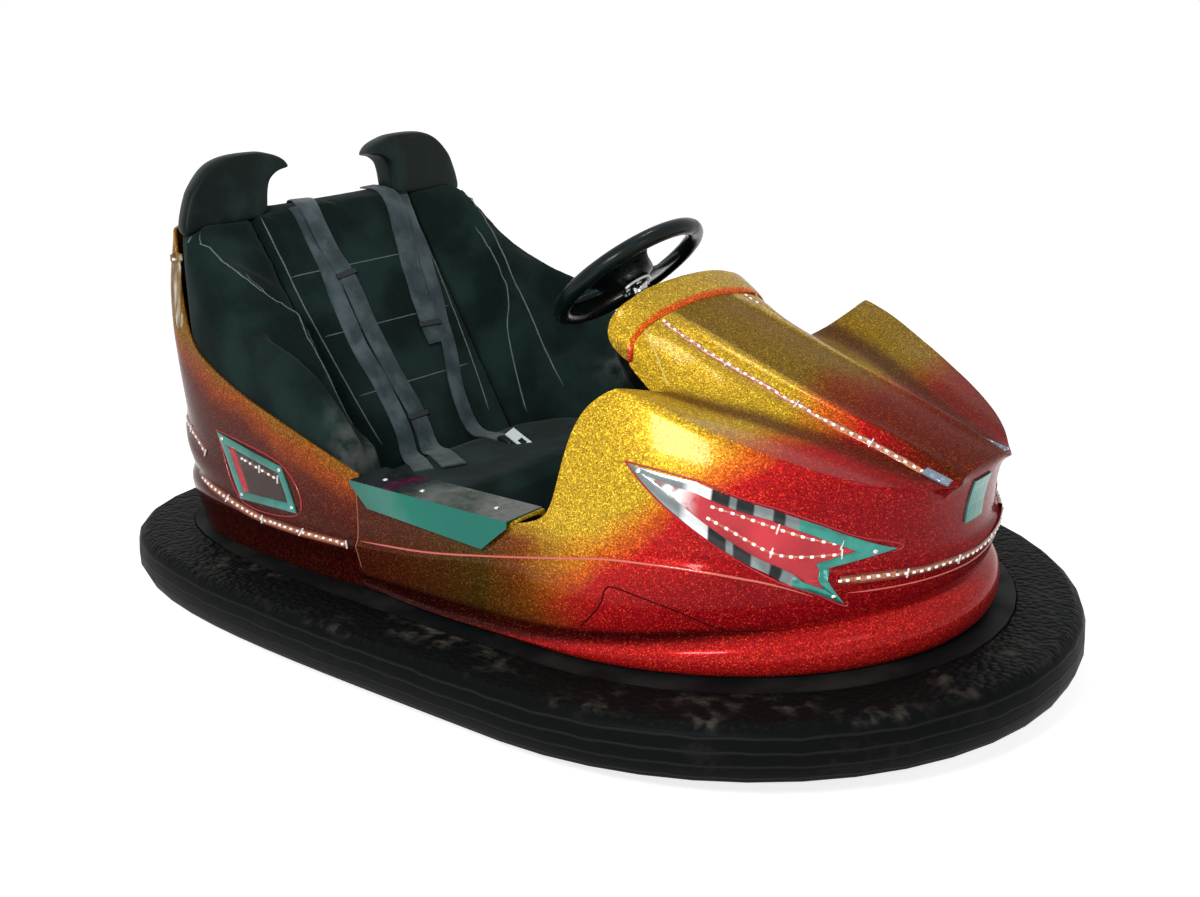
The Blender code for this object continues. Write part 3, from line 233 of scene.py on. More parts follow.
# %% Lamps and floor
def softbox(name, place, target, size, power):
    """A rectangular lamp that points at a target."""
    lamp = bpy.data.lights.new(name, "AREA")
    lamp.shape = "RECTANGLE"
    lamp.size, lamp.size_y = size
    lamp.energy = power
    thing = bpy.data.objects.new(name, lamp)
    bpy.context.scene.collection.objects.link(thing)
    aim = (Vector(target) - Vector(place)).to_track_quat("-Z", "Y")
    thing.matrix_world = Matrix.Translation(place) @ aim.to_matrix().to_4x4()


softbox("side_lamp", (1.1, -2.5, 1.7), (0.3, -0.1, 0.4), (0.8, 0.4), 62)
softbox("top_lamp", (0.45, 0.05, 2.7), (0.3, 0.0, 0.3), (0.6, 0.25), 11)
softbox("front_lamp", (3.0, -0.8, 1.4), (0.5, 0.0, 0.3), (0.8, 0.8), 7)

bpy.ops.mesh.primitive_plane_add(size=FLOOR_SIZE, location=(0.0, 0.0, 0.0))
floor = bpy.context.object
floor.name = "studio_floor"
pale = start_finish("pale_floor", (0.9, 0.9, 0.9), 0.9, emission_color=(1.0, 1.0, 1.0))
dress(pale, emission_strength=seen_white(pale).span(0.0, 1.0, 0.0, FLOOR_GLOW))
floor.data.materials.append(pale)
print("studio ready")

# %% [markdown]
# ## How the pieces are made
# Most pieces lie on another surface, so the helpers find that surface with a ray and lay a strip, a
# panel or a dot on it. Each helper starts from one of Blender's primitives and ends with a piece that
# sits at the origin, unturned, with its place in its mesh.

# %% Helpers for editing a piece
def only(thing):
    """Select one object, and nothing else."""
    bpy.ops.object.select_all(action="DESELECT")
    thing.select_set(True)
    bpy.context.view_layer.objects.active = thing


def in_edit(thing, *steps):
    """Run edit-mode operators on all of a piece: pairs of an operator and its settings."""
    only(thing)
    bpy.ops.object.mode_set(mode="EDIT")
    bpy.ops.mesh.select_all(action="SELECT")
    for operator, settings in steps:
        operator(**settings)
    bpy.ops.object.mode_set(mode="OBJECT")


NORMALS_OUT = (bpy.ops.mesh.normals_make_consistent, {"inside": False})


def close_up(thing):
    """Merge what meets, fill the open ends, and turn the faces outwards."""
    in_edit(thing, (bpy.ops.mesh.remove_doubles, {"threshold": 0.00001}),
            (bpy.ops.mesh.fill_holes, {"sides": 0}), NORMALS_OUT)


def modify(thing, kind, **settings):
    """Add a modifier with its settings."""
    made = thing.modifiers.new(kind.lower(), kind)
    for key, value in settings.items():
        setattr(made, key, value)


def bevel_edges(thing, width, segments, angle):
    """Round the edges that turn by more than an angle."""
    limit = math.radians(angle)
    modify(thing, "BEVEL", width=width, segments=segments, limit_method="ANGLE", angle_limit=limit)


def apply_all(thing):
    """Apply what modifiers a piece has, in their order."""
    only(thing)
    for modifier in list(thing.modifiers):
        bpy.ops.object.modifier_apply(modifier=modifier.name)


def smooth(thing, angle=40.0):
    only(thing)
    bpy.ops.object.shade_smooth_by_angle(angle=math.radians(angle))


def discard(thing):
    bpy.data.objects.remove(thing, do_unlink=True)


def cut_out(thing, tool):
    """Cut a tool's shape out of a piece."""
    modify(thing, "BOOLEAN", operation="DIFFERENCE", object=tool)
    apply_all(thing)
    discard(tool)


print("editing helpers ready")


# %% Helpers for whole pieces
def wear(thing, name, finish, body="root", stands_for=()):
    """Name a finished piece, paint it and hang it on its body."""
    thing.name = name
    thing.data.name = name
    thing.data.materials.clear()
    thing.data.materials.append(finish)
    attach(thing, body)
    if stands_for:
        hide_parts(*stands_for)
    return thing


def copy_node(node):
    """A CAD node's shape as a clean mesh of quads, free to be changed."""
    piece = bpy.data.objects.new(node + "_copy", nodes[node].data.copy())
    bpy.context.scene.collection.objects.link(piece)
    only(piece)
    bpy.ops.mesh.customdata_custom_splitnormals_clear()
    limit = math.radians(50)
    in_edit(piece, (bpy.ops.mesh.remove_doubles, {"threshold": 0.00005}),
            (bpy.ops.mesh.tris_convert_to_quads, {"face_threshold": limit, "shape_threshold": limit}))
    return piece


def subdivide_smooth(piece, levels, sharp, crease):
    """Round a coarse shape, but hold the edges that turn by more than an angle."""
    mesh = bmesh.new()
    mesh.from_mesh(piece.data)
    layer = mesh.edges.layers.float.get("crease_edge") or mesh.edges.layers.float.new("crease_edge")
    for edge in mesh.edges:
        if len(edge.link_faces) == 2 and edge.calc_face_angle(0.0) > math.radians(sharp):
            edge[layer] = crease
    mesh.to_mesh(piece.data)
    mesh.free()
    modify(piece, "SUBSURF", levels=levels, render_levels=levels)
    apply_all(piece)
    smooth(piece)


def stand_at(place, facing, along):
    """Turn and move a small model: its Z to the facing, its X along the line."""
    z = facing.normalized()
    y = z.cross(along).normalized()
    return Matrix.Translation(place) @ Matrix((y.cross(z), y, z)).transposed().to_4x4()


def repeat(model, places):
    """One piece that holds a copy of a small model at each place."""
    mesh = bmesh.new()
    for place in places:
        copied = model.data.copy()
        copied.transform(place)
        mesh.from_mesh(copied)
        bpy.data.meshes.remove(copied)
    made = bpy.data.meshes.new("repeated")
    mesh.to_mesh(made)
    mesh.free()
    thing = bpy.data.objects.new("repeated", made)
    bpy.context.scene.collection.objects.link(thing)
    smooth(thing)
    return thing


SIDES = ((1, "left"), (-1, "right"))


def on_side(path, side):
    """A path written for one side of the car, on the side that is asked for."""
    return [(x, side * abs(y), z) for x, y, z in path]


def across_nose(path):
    """A path from the near side to the middle, carried on to the far side."""
    return list(path) + on_side(path[:-1], 1)[::-1]


print("helpers for whole pieces ready")


# %% Helpers for lines and strips on a surface
def skin_of(*things):
    """What a ray or a nearest-point search can hit: the shown surface of some pieces."""
    points = []
    faces = []
    for thing in things:
        start = len(points)
        points += [vertex.co.copy() for vertex in thing.data.vertices]
        faces += [[start + number for number in face.vertices] for face in thing.data.polygons]
    return BVHTree.FromPolygons(points, faces)


def from_side(skin, x, z, side):
    """Where a level ray from one side meets a skin: place and outward direction."""
    place, facing, _, _ = skin.ray_cast(Vector((x, side * 2.0, z)), Vector((0.0, -side, 0.0)))
    return place, facing


def side_line(skin, outline, side):
    """Corners of a line in side view, lifted onto the skin."""
    return [from_side(skin, x, z, side)[0] for x, z in outline]


def even_steps(path, spacing):
    """Points at an even spacing along a line of corners, rounded where it turns."""
    corners = [Vector(corner) for corner in path]
    lengths = [0.0]
    for first, second in zip(corners, corners[1:]):
        lengths.append(lengths[-1] + (second - first).length)
    count = max(int(round(lengths[-1] / spacing)), 2)
    points = []
    leg = 0
    for step in range(count + 1):
        reach = lengths[-1] * step / count
        while leg < len(corners) - 2 and reach > lengths[leg + 1]:
            leg += 1
        share = (reach - lengths[leg]) / (lengths[leg + 1] - lengths[leg])
        start = (corners[leg + 1] - corners[max(leg - 1, 0)]) / 2
        end = (corners[min(leg + 2, len(corners) - 1)] - corners[leg]) / 2
        a = 2 * share ** 3 - 3 * share ** 2 + 1
        b = share ** 3 - 2 * share ** 2 + share
        c = 3 * share ** 2 - 2 * share ** 3
        d = share ** 3 - share ** 2
        points.append(corners[leg] * a + start * b + corners[leg + 1] * c + end * d)
    return points


def lay_line(skin, path, spacing=0.006):
    """Drop a line on a skin: places, outward directions, and directions across it."""
    landed = [skin.find_nearest(point) for point in even_steps(path, spacing)]
    places = [hit[0] for hit in landed]
    facings = [hit[1] for hit in landed]
    across = []
    for number, facing in enumerate(facings):
        ahead = places[min(number + 1, len(places) - 1)]
        behind = places[max(number - 1, 0)]
        across.append(facing.cross((ahead - behind).normalized()).normalized())
    return places, facings, across


# Sections of a strip, across and up, in half widths and heights
TAPE = ((-1.0, -0.3), (-1.0, 0.6), (-0.75, 1.0), (0.0, 1.0), (0.75, 1.0), (1.0, 0.6), (1.0, -0.3))
BEAD = ((-1.0, -0.3), (-0.92, 0.4), (-0.6, 0.8), (0.0, 1.0), (0.6, 0.8), (0.92, 0.4), (1.0, -0.3))


def lay_strip(line, width, height, section=TAPE, taper=0.0):
    """A long thin strip along a laid line: a grid bent to the line and closed underneath."""
    count = len(line[0])
    bpy.ops.mesh.primitive_grid_add(x_subdivisions=len(section), y_subdivisions=count - 1, size=1.0)
    strip = bpy.context.object
    row = len(section) + 1
    for number, (place, facing, across) in enumerate(zip(*line)):
        end = min(number, count - 1 - number) / max(count - 1, 1)
        narrow = min(1.0, 0.15 + end / taper) if taper else 1.0
        for spot in range(row):
            side, rise = section[spot % len(section)]
            point = place + across * (side * narrow * width / 2) + facing * (rise * narrow * height)
            strip.data.vertices[number * row + spot].co = point
    close_up(strip)
    smooth(strip)
    return strip


def trace(name, finish, skin, path, width, height, section=BEAD, taper=0.0):
    """Lay a strip along a path on a skin, as a finished piece."""
    wear(lay_strip(lay_line(skin, path), width, height, section, taper), name, finish)


print("strip helpers ready")

# %% [markdown]
# ## Flake paint
# The moulded body has thousands of metal flakes under a thick clear coat. It goes from gold round the
# cockpit to orange and a deep red at the nose and low down. Small Voronoi cells stand for the flakes:
# each cell has its own brightness and tilt, and the colour under them follows the place on the car.

# %% Flake paint
FLAKE_SCALE = 560.0
GOLD = (0.50, 0.325, 0.022)
OLIVE = (0.17, 0.10, 0.010)
ORANGE = (0.50, 0.10, 0.010)
RED = (0.40, 0.010, 0.011)
DEEP_RED = (0.24, 0.003, 0.007)
# Near-black painted shade, low at the back of the moulding
PLINTH_SHADE = (0.035, 0.002, 0.002)


def flake_paint(name, base_of):
    """Metal-flake paint under a clear coat, over a colour that base_of makes."""
    finish = start_finish(name, (0.5, 0.1, 0.02), 0.34, metallic=0.20, coat=0.7, shine=0.03,
                          specular_tint=(0.7, 0.4, 0.25), coat_roughness=0.10)
    cells = Value(finish, "TexVoronoi", {"Vector": place_of(finish), "Scale": FLAKE_SCALE}, "Color")
    brightness, kind, lean = cells.parts()
    base = base_of(finish)
    shade = brightness.ramp((0.0, (0.45, 0.38, 0.4)), (0.45, (0.85, 0.8, 0.8)), (0.80, (1.15, 1.05, 1.0)),
                            (1.0, (1.7, 1.75, 1.6)))
    glint = base.over("MULTIPLY", (2.2, 2.4, 2.0)).over("ADD", (0.05, 0.035, 0.006))
    dress(finish, base_color=kind.span(0.90, 0.97).mix(base.over("MULTIPLY", shade), glint),
          normal=bump(finish, lean, 0.0008, 0.5), roughness=kind.span(0.0, 1.0, 0.24, 0.46),
          coat_normal=bump(finish, cloud(finish, 22.0, 1.0), 0.0012, 0.25))
    return finish


def front_colour(finish):
    """Gold at the cockpit, orange and red towards the nose, dark low down; painted shade on the plinth's back
    end, in its groove and on the hood.
    """
    x, y, z = place_of(finish).parts()
    uneven = (cloud(finish, 5.0) - 0.5) * 0.9
    way = (x - 0.42) / 0.22 + ((0.44 - z) * 6.0).most(-0.5) + uneven
    base = way.span(-1.0, 1.8).ramp((0.0, GOLD), (0.28, GOLD), (0.44, ORANGE), (0.56, RED), (1.0, DEEP_RED))
    back = (x + uneven * 0.08).span(-0.2, 0.36)
    back = back.ramp((0.0, (0.070, 0.011, 0.005)), (0.35, (0.075, 0.022, 0.005)),
                     (0.65, (0.062, 0.032, 0.005)), (1.0, (0.24, 0.05, 0.007)))
    shade = (z.span(0.400, 0.345) * x.span(0.38, 0.22)).mix(base, back)
    # The plinth is red, with painted shade darkening it towards the back
    plinth = x.span(-0.05, 0.42).ramp((0.0, PLINTH_SHADE), (0.4, (0.16, 0.004, 0.005)), (1.0, RED))
    above = z - x.span(0.10, 0.76, 0.186, 0.254)
    shade = above.span(0.012, -0.004).mix(shade, plinth)
    # Painted shade in the groove above the plinth, fading out towards the nose
    groove = abs(above).span(0.016, 0.003) * x.span(0.80, 0.50)
    shade = (groove * 0.9).mix(shade, (0.02, 0.001, 0.002))
    beside = abs(y)
    upper = z.span(0.445, 0.475)
    from_valley = abs(beside - x.span(0.30, 0.86, 0.275, 0.105))
    # Painted shade in the hollow between each fender's crest and the hood
    shade = (from_valley.span(0.055, 0.008) * upper * 0.82).mix(shade, (0.065, 0.012, 0.004))
    crown = beside.span(0.100, 0.080) * upper
    dulled = crown.most(from_valley.span(0.11, 0.05) * upper)
    dress(finish, coat_weight=dulled.span(0.0, 1.0, 0.6, 0.05))
    # Painted shade on the hood's crown
    shade = (crown * 0.66).mix(shade, (0.045, 0.018, 0.004))
    # Painted shade on the upper moulding of the far, left side
    return (y.span(0.12, 0.20) * upper * 0.55).mix(shade, (0.050, 0.016, 0.003))


def rear_colour(finish):
    """Dark red-brown quarters with a brighter band under the upper edge, and painted shade on the plinth
    below.
    """
    x, _, z = place_of(finish).parts()
    way = (-0.226 - x) * 0.32 + 0.405 - z + (cloud(finish, 9.0) - 0.5) * 0.06
    edge = way.span(-0.02, 0.15).ramp((0.0, (0.26, 0.12, 0.012)), (0.22, (0.30, 0.055, 0.007)),
                                      (0.55, (0.11, 0.012, 0.004)), (1.0, (0.065, 0.007, 0.004)))
    # Painted shade on the plinth under the quarters
    return z.span(0.265, 0.235).mix(edge, PLINTH_SHADE)


def cowl_colour(finish):
    """Gold, with an orange shade in the groove at its front edge."""
    x, _, z = place_of(finish).parts()
    groove = x.span(0.2625, 0.2685)
    return z.span(0.66, 0.60).mix(groove.mix(GOLD, (0.70, 0.10, 0.008)), groove.mix(OLIVE, RED))


front_paint = flake_paint("flake_paint_front", front_colour)
rear_paint = flake_paint("flake_paint_rear", rear_colour)
cowl_paint = flake_paint("flake_paint_cowl", cowl_colour)
print("flake paints ready")

# %% [markdown]
# ## Body shells
# The real shells are laid up in a mould, so every turn in them is soft and only the trimmed rims are
# square. The CAD shells have the right lines with coarse faces. Subdivision rounds them, and a crease
# on the sharp turns keeps the rims and the grooves. The channel for the hood's light strip, and the fold
# over it, are pressed in after that, because they are finer than the CAD's faces.

# %% Body shells
# The channel's line on the near half: x, distance from the middle, height
FOLD = ((0.270, 0.129, 0.660), (0.347, 0.130, 0.634), (0.439, 0.125, 0.596), (0.532, 0.124, 0.561),
        (0.620, 0.121, 0.529), (0.697, 0.113, 0.503), (0.774, 0.108, 0.474), (0.835, 0.102, 0.455))
FOLD_HEIGHT = 0.0065
FOLD_OFFSET = 0.026
CHANNEL_DEPTH = 0.0075
FOLD_WIDTH = 0.013
FOLD_REACH = 0.03
FADE_AT_COWL = 0.05
FADE_AT_NOSE = 0.08


def fold_hood(shell):
    """Press a channel for the light strip into the hood, and raise the fold above it."""
    first, last = FOLD[0][0], FOLD[-1][0]
    for vertex in shell.data.vertices:
        x, y, z = vertex.co
        if not first < x < last:
            continue
        number = max(spot for spot in range(len(FOLD) - 1) if FOLD[spot][0] <= x)
        behind, ahead = Vector(FOLD[number]), Vector(FOLD[number + 1])
        _, half, height = behind.lerp(ahead, (x - behind.x) / (ahead.x - behind.x))
        if abs(z - height) > FOLD_REACH:
            continue
        fade = min(1.0, (x - first) / FADE_AT_COWL, (last - x) / FADE_AT_NOSE)
        off = abs(y) - half
        vertex.co.z += fade * (FOLD_HEIGHT * math.exp(-((off + FOLD_OFFSET) / FOLD_WIDTH) ** 2)
                               - CHANNEL_DEPTH * math.exp(-(off / FOLD_WIDTH) ** 2))


front_shell = copy_node("body_front")
subdivide_smooth(front_shell, 2, sharp=55.0, crease=0.7)
fold_hood(front_shell)
wear(front_shell, "front_shell", front_paint, stands_for=["body_front"])

rear_shell = copy_node("body_rear")
subdivide_smooth(rear_shell, 2, sharp=55.0, crease=0.7)
wear(rear_shell, "rear_shell", rear_paint, stands_for=["body_rear"])

neck_cowl = copy_node("cowl")
subdivide_smooth(neck_cowl, 3, sharp=75.0, crease=0.35)
wear(neck_cowl, "neck_cowl", cowl_paint, stands_for=["cowl"])

front_skin = skin_of(front_shell)
rear_skin = skin_of(rear_shell)
for shell in (front_shell, rear_shell, neck_cowl):
    print(shell.name, len(shell.data.polygons), "faces")

# %% [markdown]
# ## Rubber bumper
# A solid rubber ring takes every knock. Years of rubbing leave the upper face knobbly and grey, and the
# outer face with long lines round it. The ring keeps the CAD's shape with rounded corners, and the wear
# is all in the finish, because it is finer than any face.

# %% Rubber bumper
def worn_rubber():
    """Near-black rubber: knobs and dust on top, thin worn lines round the outer face."""
    finish = start_finish("worn_rubber", (0.005, 0.006, 0.006), 0.8, shine=0.03)
    place = place_of(finish)
    knobs = Value(finish, "TexVoronoi", {"Vector": place, "Scale": 75.0, "Randomness": 0.8})
    rough = cloud(finish, 38.0, 6.0)
    top = place.parts()[2].span(0.150, 0.163)
    scuff = rough.span(0.44, 0.72) * cloud(finish, 7.0, 5.0).span(0.46, 0.70)
    layers = Value(finish, "TexWave", {"Vector": place, "Scale": 14.0, "Distortion": 1.2, "Detail": 3.0},
                   bands_direction="Z")
    lines = layers.span(0.86, 1.0) * (1.0 - top)
    worn = (scuff * top.span(0.0, 1.0, 0.12, 1.0)).most(lines * 0.14)
    dust = cloud(finish, 3.0).mix((0.060, 0.068, 0.066), (0.075, 0.058, 0.042))
    coarse = bump(finish, (1.0 - knobs) * rough, 0.008, top)
    dress(finish, base_color=worn.mix((0.0028, 0.0036, 0.0036), dust),
          roughness=worn.span(0.0, 1.0, 0.5, 0.9), normal=bump(finish, lines, 0.002, 0.5, coarse))
    return finish


bumper = copy_node("bumper_ring")
bevel_edges(bumper, 0.004, 3, 30.0)
apply_all(bumper)
smooth(bumper)
wear(bumper, "rubber_bumper", worn_rubber(), stands_for=["bumper_ring"])
print("bumper", len(bumper.data.polygons), "faces")

# %% [markdown]
# ## Mirror trims, red bays and clear windows
# Each trim is a strip of polished sheet, screwed over a clear window with a red bay and rows of lights
# behind it. A flat outline is made from a circle of points, laid on the moulding by rays from the side,
# and given its thickness. Its reflections are painted in its finish: grey, white and black bands; teal at the
# front.

# %% Trim outlines
# Corners in side view: x and height
ARROW = ((0.427, 0.511), (0.531, 0.490), (0.597, 0.463), (0.640, 0.448), (0.694, 0.420), (0.730, 0.395),
         (0.768, 0.366), (0.703, 0.350), (0.721, 0.288), (0.693, 0.313), (0.656, 0.336), (0.610, 0.361),
         (0.571, 0.390), (0.530, 0.422), (0.489, 0.454), (0.455, 0.484))
ARROW_HOLE = ((0.458, 0.495), (0.533, 0.473), (0.594, 0.447), (0.634, 0.433), (0.684, 0.406), (0.712, 0.387),
              (0.730, 0.373), (0.689, 0.359), (0.703, 0.319), (0.686, 0.332), (0.652, 0.353), (0.616, 0.376),
              (0.581, 0.403), (0.543, 0.433), (0.506, 0.462), (0.478, 0.483))
QUARTER = ((-0.594, 0.398), (-0.385, 0.367), (-0.344, 0.282), (-0.524, 0.274))
QUARTER_BAND = 0.017


def inset_outline(outline, width):
    """Move each side of a flat outline in by a width."""
    count = len(outline)
    spin = sum(outline[i][0] * outline[(i + 1) % count][1] - outline[(i + 1) % count][0] * outline[i][1]
               for i in range(count))
    turn_in = 1.0 if spin > 0 else -1.0
    moved = []
    for number, corner in enumerate(outline):
        here = Vector(corner)
        first = (here - Vector(outline[number - 1])).normalized()
        second = (Vector(outline[(number + 1) % count]) - here).normalized()
        normals = [Vector((-way.y, way.x)) * turn_in for way in (first, second)]
        middle = (normals[0] + normals[1]).normalized()
        reach = width / max(middle.dot(normals[0]), 0.35)
        moved.append(tuple(here + middle * reach))
    return moved


def fine_outline(outline, pieces=7):
    """More points along each side, the same number on each."""
    points = []
    for number, corner in enumerate(outline):
        ahead = outline[(number + 1) % len(outline)]
        for step in range(pieces):
            points.append(tuple(a + (b - a) * step / pieces for a, b in zip(corner, ahead)))
    return points


print("arrow of", len(ARROW), "corners, quarter trim of", len(QUARTER))


# %% Panels on the moulding
def lay_panel(skin, side, outline, hole=None, lift=0.0004, thickness=0.003, bevel=0.0006):
    """A plate with an outline in side view, bent onto a skin; hole leaves a frame."""
    rim = fine_outline(outline)
    bpy.ops.mesh.primitive_circle_add(vertices=len(rim), radius=1.0, fill_type="NOTHING" if hole else "NGON")
    plate = bpy.context.object
    for vertex, (x, z) in zip(plate.data.vertices, rim):
        vertex.co = (x, 0.0, z)
    if hole:
        inner = fine_outline(hole)
        in_edit(plate, (bpy.ops.mesh.extrude_edges_move, {}))
        lookup = {(round(x, 5), round(z, 5)): number for number, (x, z) in enumerate(rim)}
        for vertex in plate.data.vertices[len(rim):]:
            x, z = inner[lookup[(round(vertex.co.x, 5), round(vertex.co.z, 5))]]
            vertex.co = (x, 0.0, z)
        in_edit(plate, (bpy.ops.mesh.subdivide, {"number_cuts": 1}))
    else:
        in_edit(plate, (bpy.ops.mesh.quads_convert_to_tris, {}), (bpy.ops.mesh.subdivide, {"number_cuts": 3}))
    for vertex in plate.data.vertices:
        place, facing = from_side(skin, vertex.co.x, vertex.co.z, side)
        vertex.co = place + facing * lift
    in_edit(plate, NORMALS_OUT)
    if sum(face.normal.y for face in plate.data.polygons) * side < 0:
        in_edit(plate, (bpy.ops.mesh.flip_normals, {}))
    modify(plate, "SOLIDIFY", thickness=thickness, offset=1.0)
    if bevel:
        bevel_edges(plate, bevel, 2, 50.0)
    apply_all(plate)
    smooth(plate)
    return plate


print("panel helper ready")


# %% Trim finishes
def banded_mirror(name, low, high, stops):
    """Polished sheet with painted reflections: bands of what stands round it, along the car."""
    finish = start_finish(name, (0.3, 0.32, 0.32), 0.16, metallic=0.35, coat=0.3)
    shade = place_of(finish).parts()[0].span(low, high).ramp(*stops)
    smears = cloud(finish, 30.0, 4.0).span(0.35, 0.75, 0.75, 1.1)
    dress(finish, base_color=shade.over("MULTIPLY", smears),
          roughness=cloud(finish, 55.0, 3.0).span(0.3, 0.8, 0.10, 0.26))
    return finish


def red_bay():
    """Red plastic, glaring at the arrow's back end; at the rear, a dim bay with a red bar."""
    finish = start_finish("red_bay", (0.45, 0.02, 0.03), 0.4, coat=0.05, shine=0.06)
    folds = cloud(finish, 12.0, 1.0).ramp((0.3, (0.27, 0.004, 0.010)), (0.7, (0.52, 0.020, 0.034)))
    x, _, z = place_of(finish).parts()
    dim = (x + z * 0.565).span(-0.332, -0.328).mix((0.50, 0.010, 0.030), (0.035, 0.014, 0.009))
    folds = x.span(-0.3, 0.1).mix(dim, folds)
    glare = cloud(finish, 45.0, 2.0).span(0.40, 0.55).mix((0.30, 0.16, 0.17), (0.88, 0.88, 0.88))
    dress(finish, base_color=(x.span(0.545, 0.500) * x.span(0.44, 0.46)).mix(folds, glare))
    return finish


TEAL = (0.035, 0.27, 0.22)
GREY_REFLECTION = (0.20, 0.235, 0.235)
BLACK_REFLECTION = (0.010, 0.014, 0.015)
WHITE_REFLECTION = (0.85, 0.87, 0.87)
# Start, end and colour of each band on the arrow: painted reflections in grey, white and black, then the
# trim's own teal
ARROW_BANDS = (
    (0.0, 0.18, GREY_REFLECTION), (0.22, 0.335, WHITE_REFLECTION), (0.345, 0.44, BLACK_REFLECTION), (0.45, 0.48, GREY_REFLECTION),
    (0.49, 0.58, BLACK_REFLECTION), (0.59, 0.68, GREY_REFLECTION), (0.69, 0.74, BLACK_REFLECTION), (0.75, 0.80, GREY_REFLECTION), (0.81, 1.0, TEAL),
)
arrow_stops = [(place, shade) for start, end, shade in ARROW_BANDS for place in (start, end)]
arrow_mirror = banded_mirror("arrow_mirror", 0.42, 0.77, arrow_stops)
quarter_mirror = banded_mirror("quarter_mirror", -0.60, -0.34,
                               ((0.0, TEAL), (0.5, (0.03, 0.17, 0.14)), (1.0, TEAL)))
nose_mirror = banded_mirror("nose_mirror", 0.8, 0.9, ((0.0, TEAL), (1.0, TEAL)))
bay_red = red_bay()
window = start_finish("clear_window", (0.95, 0.97, 0.97), 0.04, shine=0.1, transmission_weight=0.92,
                      alpha=0.20, ior=1.12)
bright_metal = start_finish("bright_metal", (0.62, 0.64, 0.64), 0.22, metallic=1.0)
dress(bright_metal, roughness=cloud(bright_metal, 60.0, 3.0).span(0.3, 0.7, 0.14, 0.34))
red_lip = start_finish("red_lip", (0.42, 0.02, 0.03), 0.2, coat=0.8)
print("trim finishes ready")


# %% Screws
def shaped_cube(size, foot):
    """A cube moved to its size, with its foot at a height of so many sizes."""
    bpy.ops.mesh.primitive_cube_add(size=1.0)
    block = bpy.context.object
    for vertex in block.data.vertices:
        vertex.co = (vertex.co.x * size[0], vertex.co.y * size[1], (vertex.co.z + 0.5 + foot) * size[2])
    return block


def screw_head(radius=0.0045, height=0.0022):
    """A domed screw head with a slot."""
    bpy.ops.mesh.primitive_uv_sphere_add(segments=16, ring_count=10, radius=radius)
    head = bpy.context.object
    in_edit(head, (bpy.ops.mesh.bisect, {"plane_co": (0, 0, 0), "plane_no": (0, 0, 1), "clear_inner": True,
                                         "use_fill": True}))
    for vertex in head.data.vertices:
        vertex.co.z *= height / radius
    cut_out(head, shaped_cube((radius * 1.3, radius * 0.3, height), 0.5))
    return head


screw_model = screw_head()
print("screw head", len(screw_model.data.polygons), "faces")

# %% Trims on both sides
TRIMS = (("arrow", ARROW, ARROW_HOLE, front_skin, arrow_mirror),
         ("quarter", QUARTER, inset_outline(QUARTER, QUARTER_BAND), rear_skin, quarter_mirror))
ARROW_SCREWS = ((0.446, 0.5015), (0.748, 0.3675), (0.711, 0.304))
SCREW_RISE = 0.0034
SCREW_INSET = 0.009
LIP_OFFSET = 0.002
spots = [(x, z, front_skin) for x, z in ARROW_SCREWS]
spots += [(x, z, rear_skin) for x, z in inset_outline(QUARTER, SCREW_INSET)]
for side, word in SIDES:
    for stem, outline, hole, skin, mirror in TRIMS:
        bay = lay_panel(skin, side, hole, lift=0.0002, thickness=0.0012, bevel=0)
        wear(bay, stem + "_bay_" + word, bay_red)
        trim = lay_panel(skin, side, outline, hole)
        wear(trim, stem + "_mirror_" + word, mirror, stands_for=[stem + "_trim_" + word])
        pane = lay_panel(skin, side, inset_outline(hole, 0.0006), lift=0.0050, thickness=0.0010, bevel=0)
        wear(pane, stem + "_window_" + word, window, stands_for=[stem + "_lens_" + word])
        rim = inset_outline(outline, -LIP_OFFSET)
        path = side_line(skin, rim + rim[:1], side)
        trace(stem + "_lip_" + word, red_lip, skin, path, 0.003, 0.0022)
    frames = []
    for x, z, skin in spots:
        place, facing = from_side(skin, x, z, side)
        frames.append(stand_at(place + facing * SCREW_RISE, facing, AHEAD))
    wear(repeat(screw_model, frames), "trim_screws_" + word, bright_metal)
wear(copy_node("nose_trim"), "nose_plate", nose_mirror, stands_for=["nose_trim"])
print("trims laid")

# %% [markdown]
# ## Light strips
# Flexible strips of small lamps are glued along the belt, over the rear quarters and down the hood's
# ridges, held by white clips. A tape is laid along each line, and one small lamp and one clip are
# modelled and copied along it.

# %% Light strips
lamp_white = start_finish("lamp_white", (0.95, 0.93, 0.9), 0.25, coat=0.5, emission_color=(1.0, 0.96, 0.9),
                          emission_strength=0.25)
clip_white = start_finish("clip_white", (0.8, 0.8, 0.8), 0.3)
strip_bed = start_finish("strip_bed", (0.16, 0.02, 0.006), 0.35)
copper_tape = start_finish("strip_tape", (0.6, 0.25, 0.16), 0.22, coat=0.4)
specks = Value(copper_tape, "TexVoronoi", {"Vector": place_of(copper_tape), "Scale": 130.0})
dress(copper_tape, base_color=specks.ramp((0.1, (0.70, 0.34, 0.12)), (0.5, (0.36, 0.10, 0.04)),
                                          (0.9, (0.55, 0.33, 0.22))))


def small_block(size, bevel):
    """A little block with rounded edges, its foot at zero."""
    block = shaped_cube(size, 0.0)
    in_edit(block, (bpy.ops.mesh.bevel, {"offset": bevel, "segments": 1, "affect": "EDGES"}))
    return block


BED_HEIGHT = 0.0006
TAPE_HEIGHT = 0.0016
LAMP_STEP = 0.0165
LAMP_RISE = 0.0011
CLIP_STEP = 0.132
CLIP_RISE = 0.0002
lamp_model = small_block((0.006, 0.0045, 0.0022), 0.0006)
clip_model = small_block((0.0026, 0.0170, 0.0032), 0.0006)


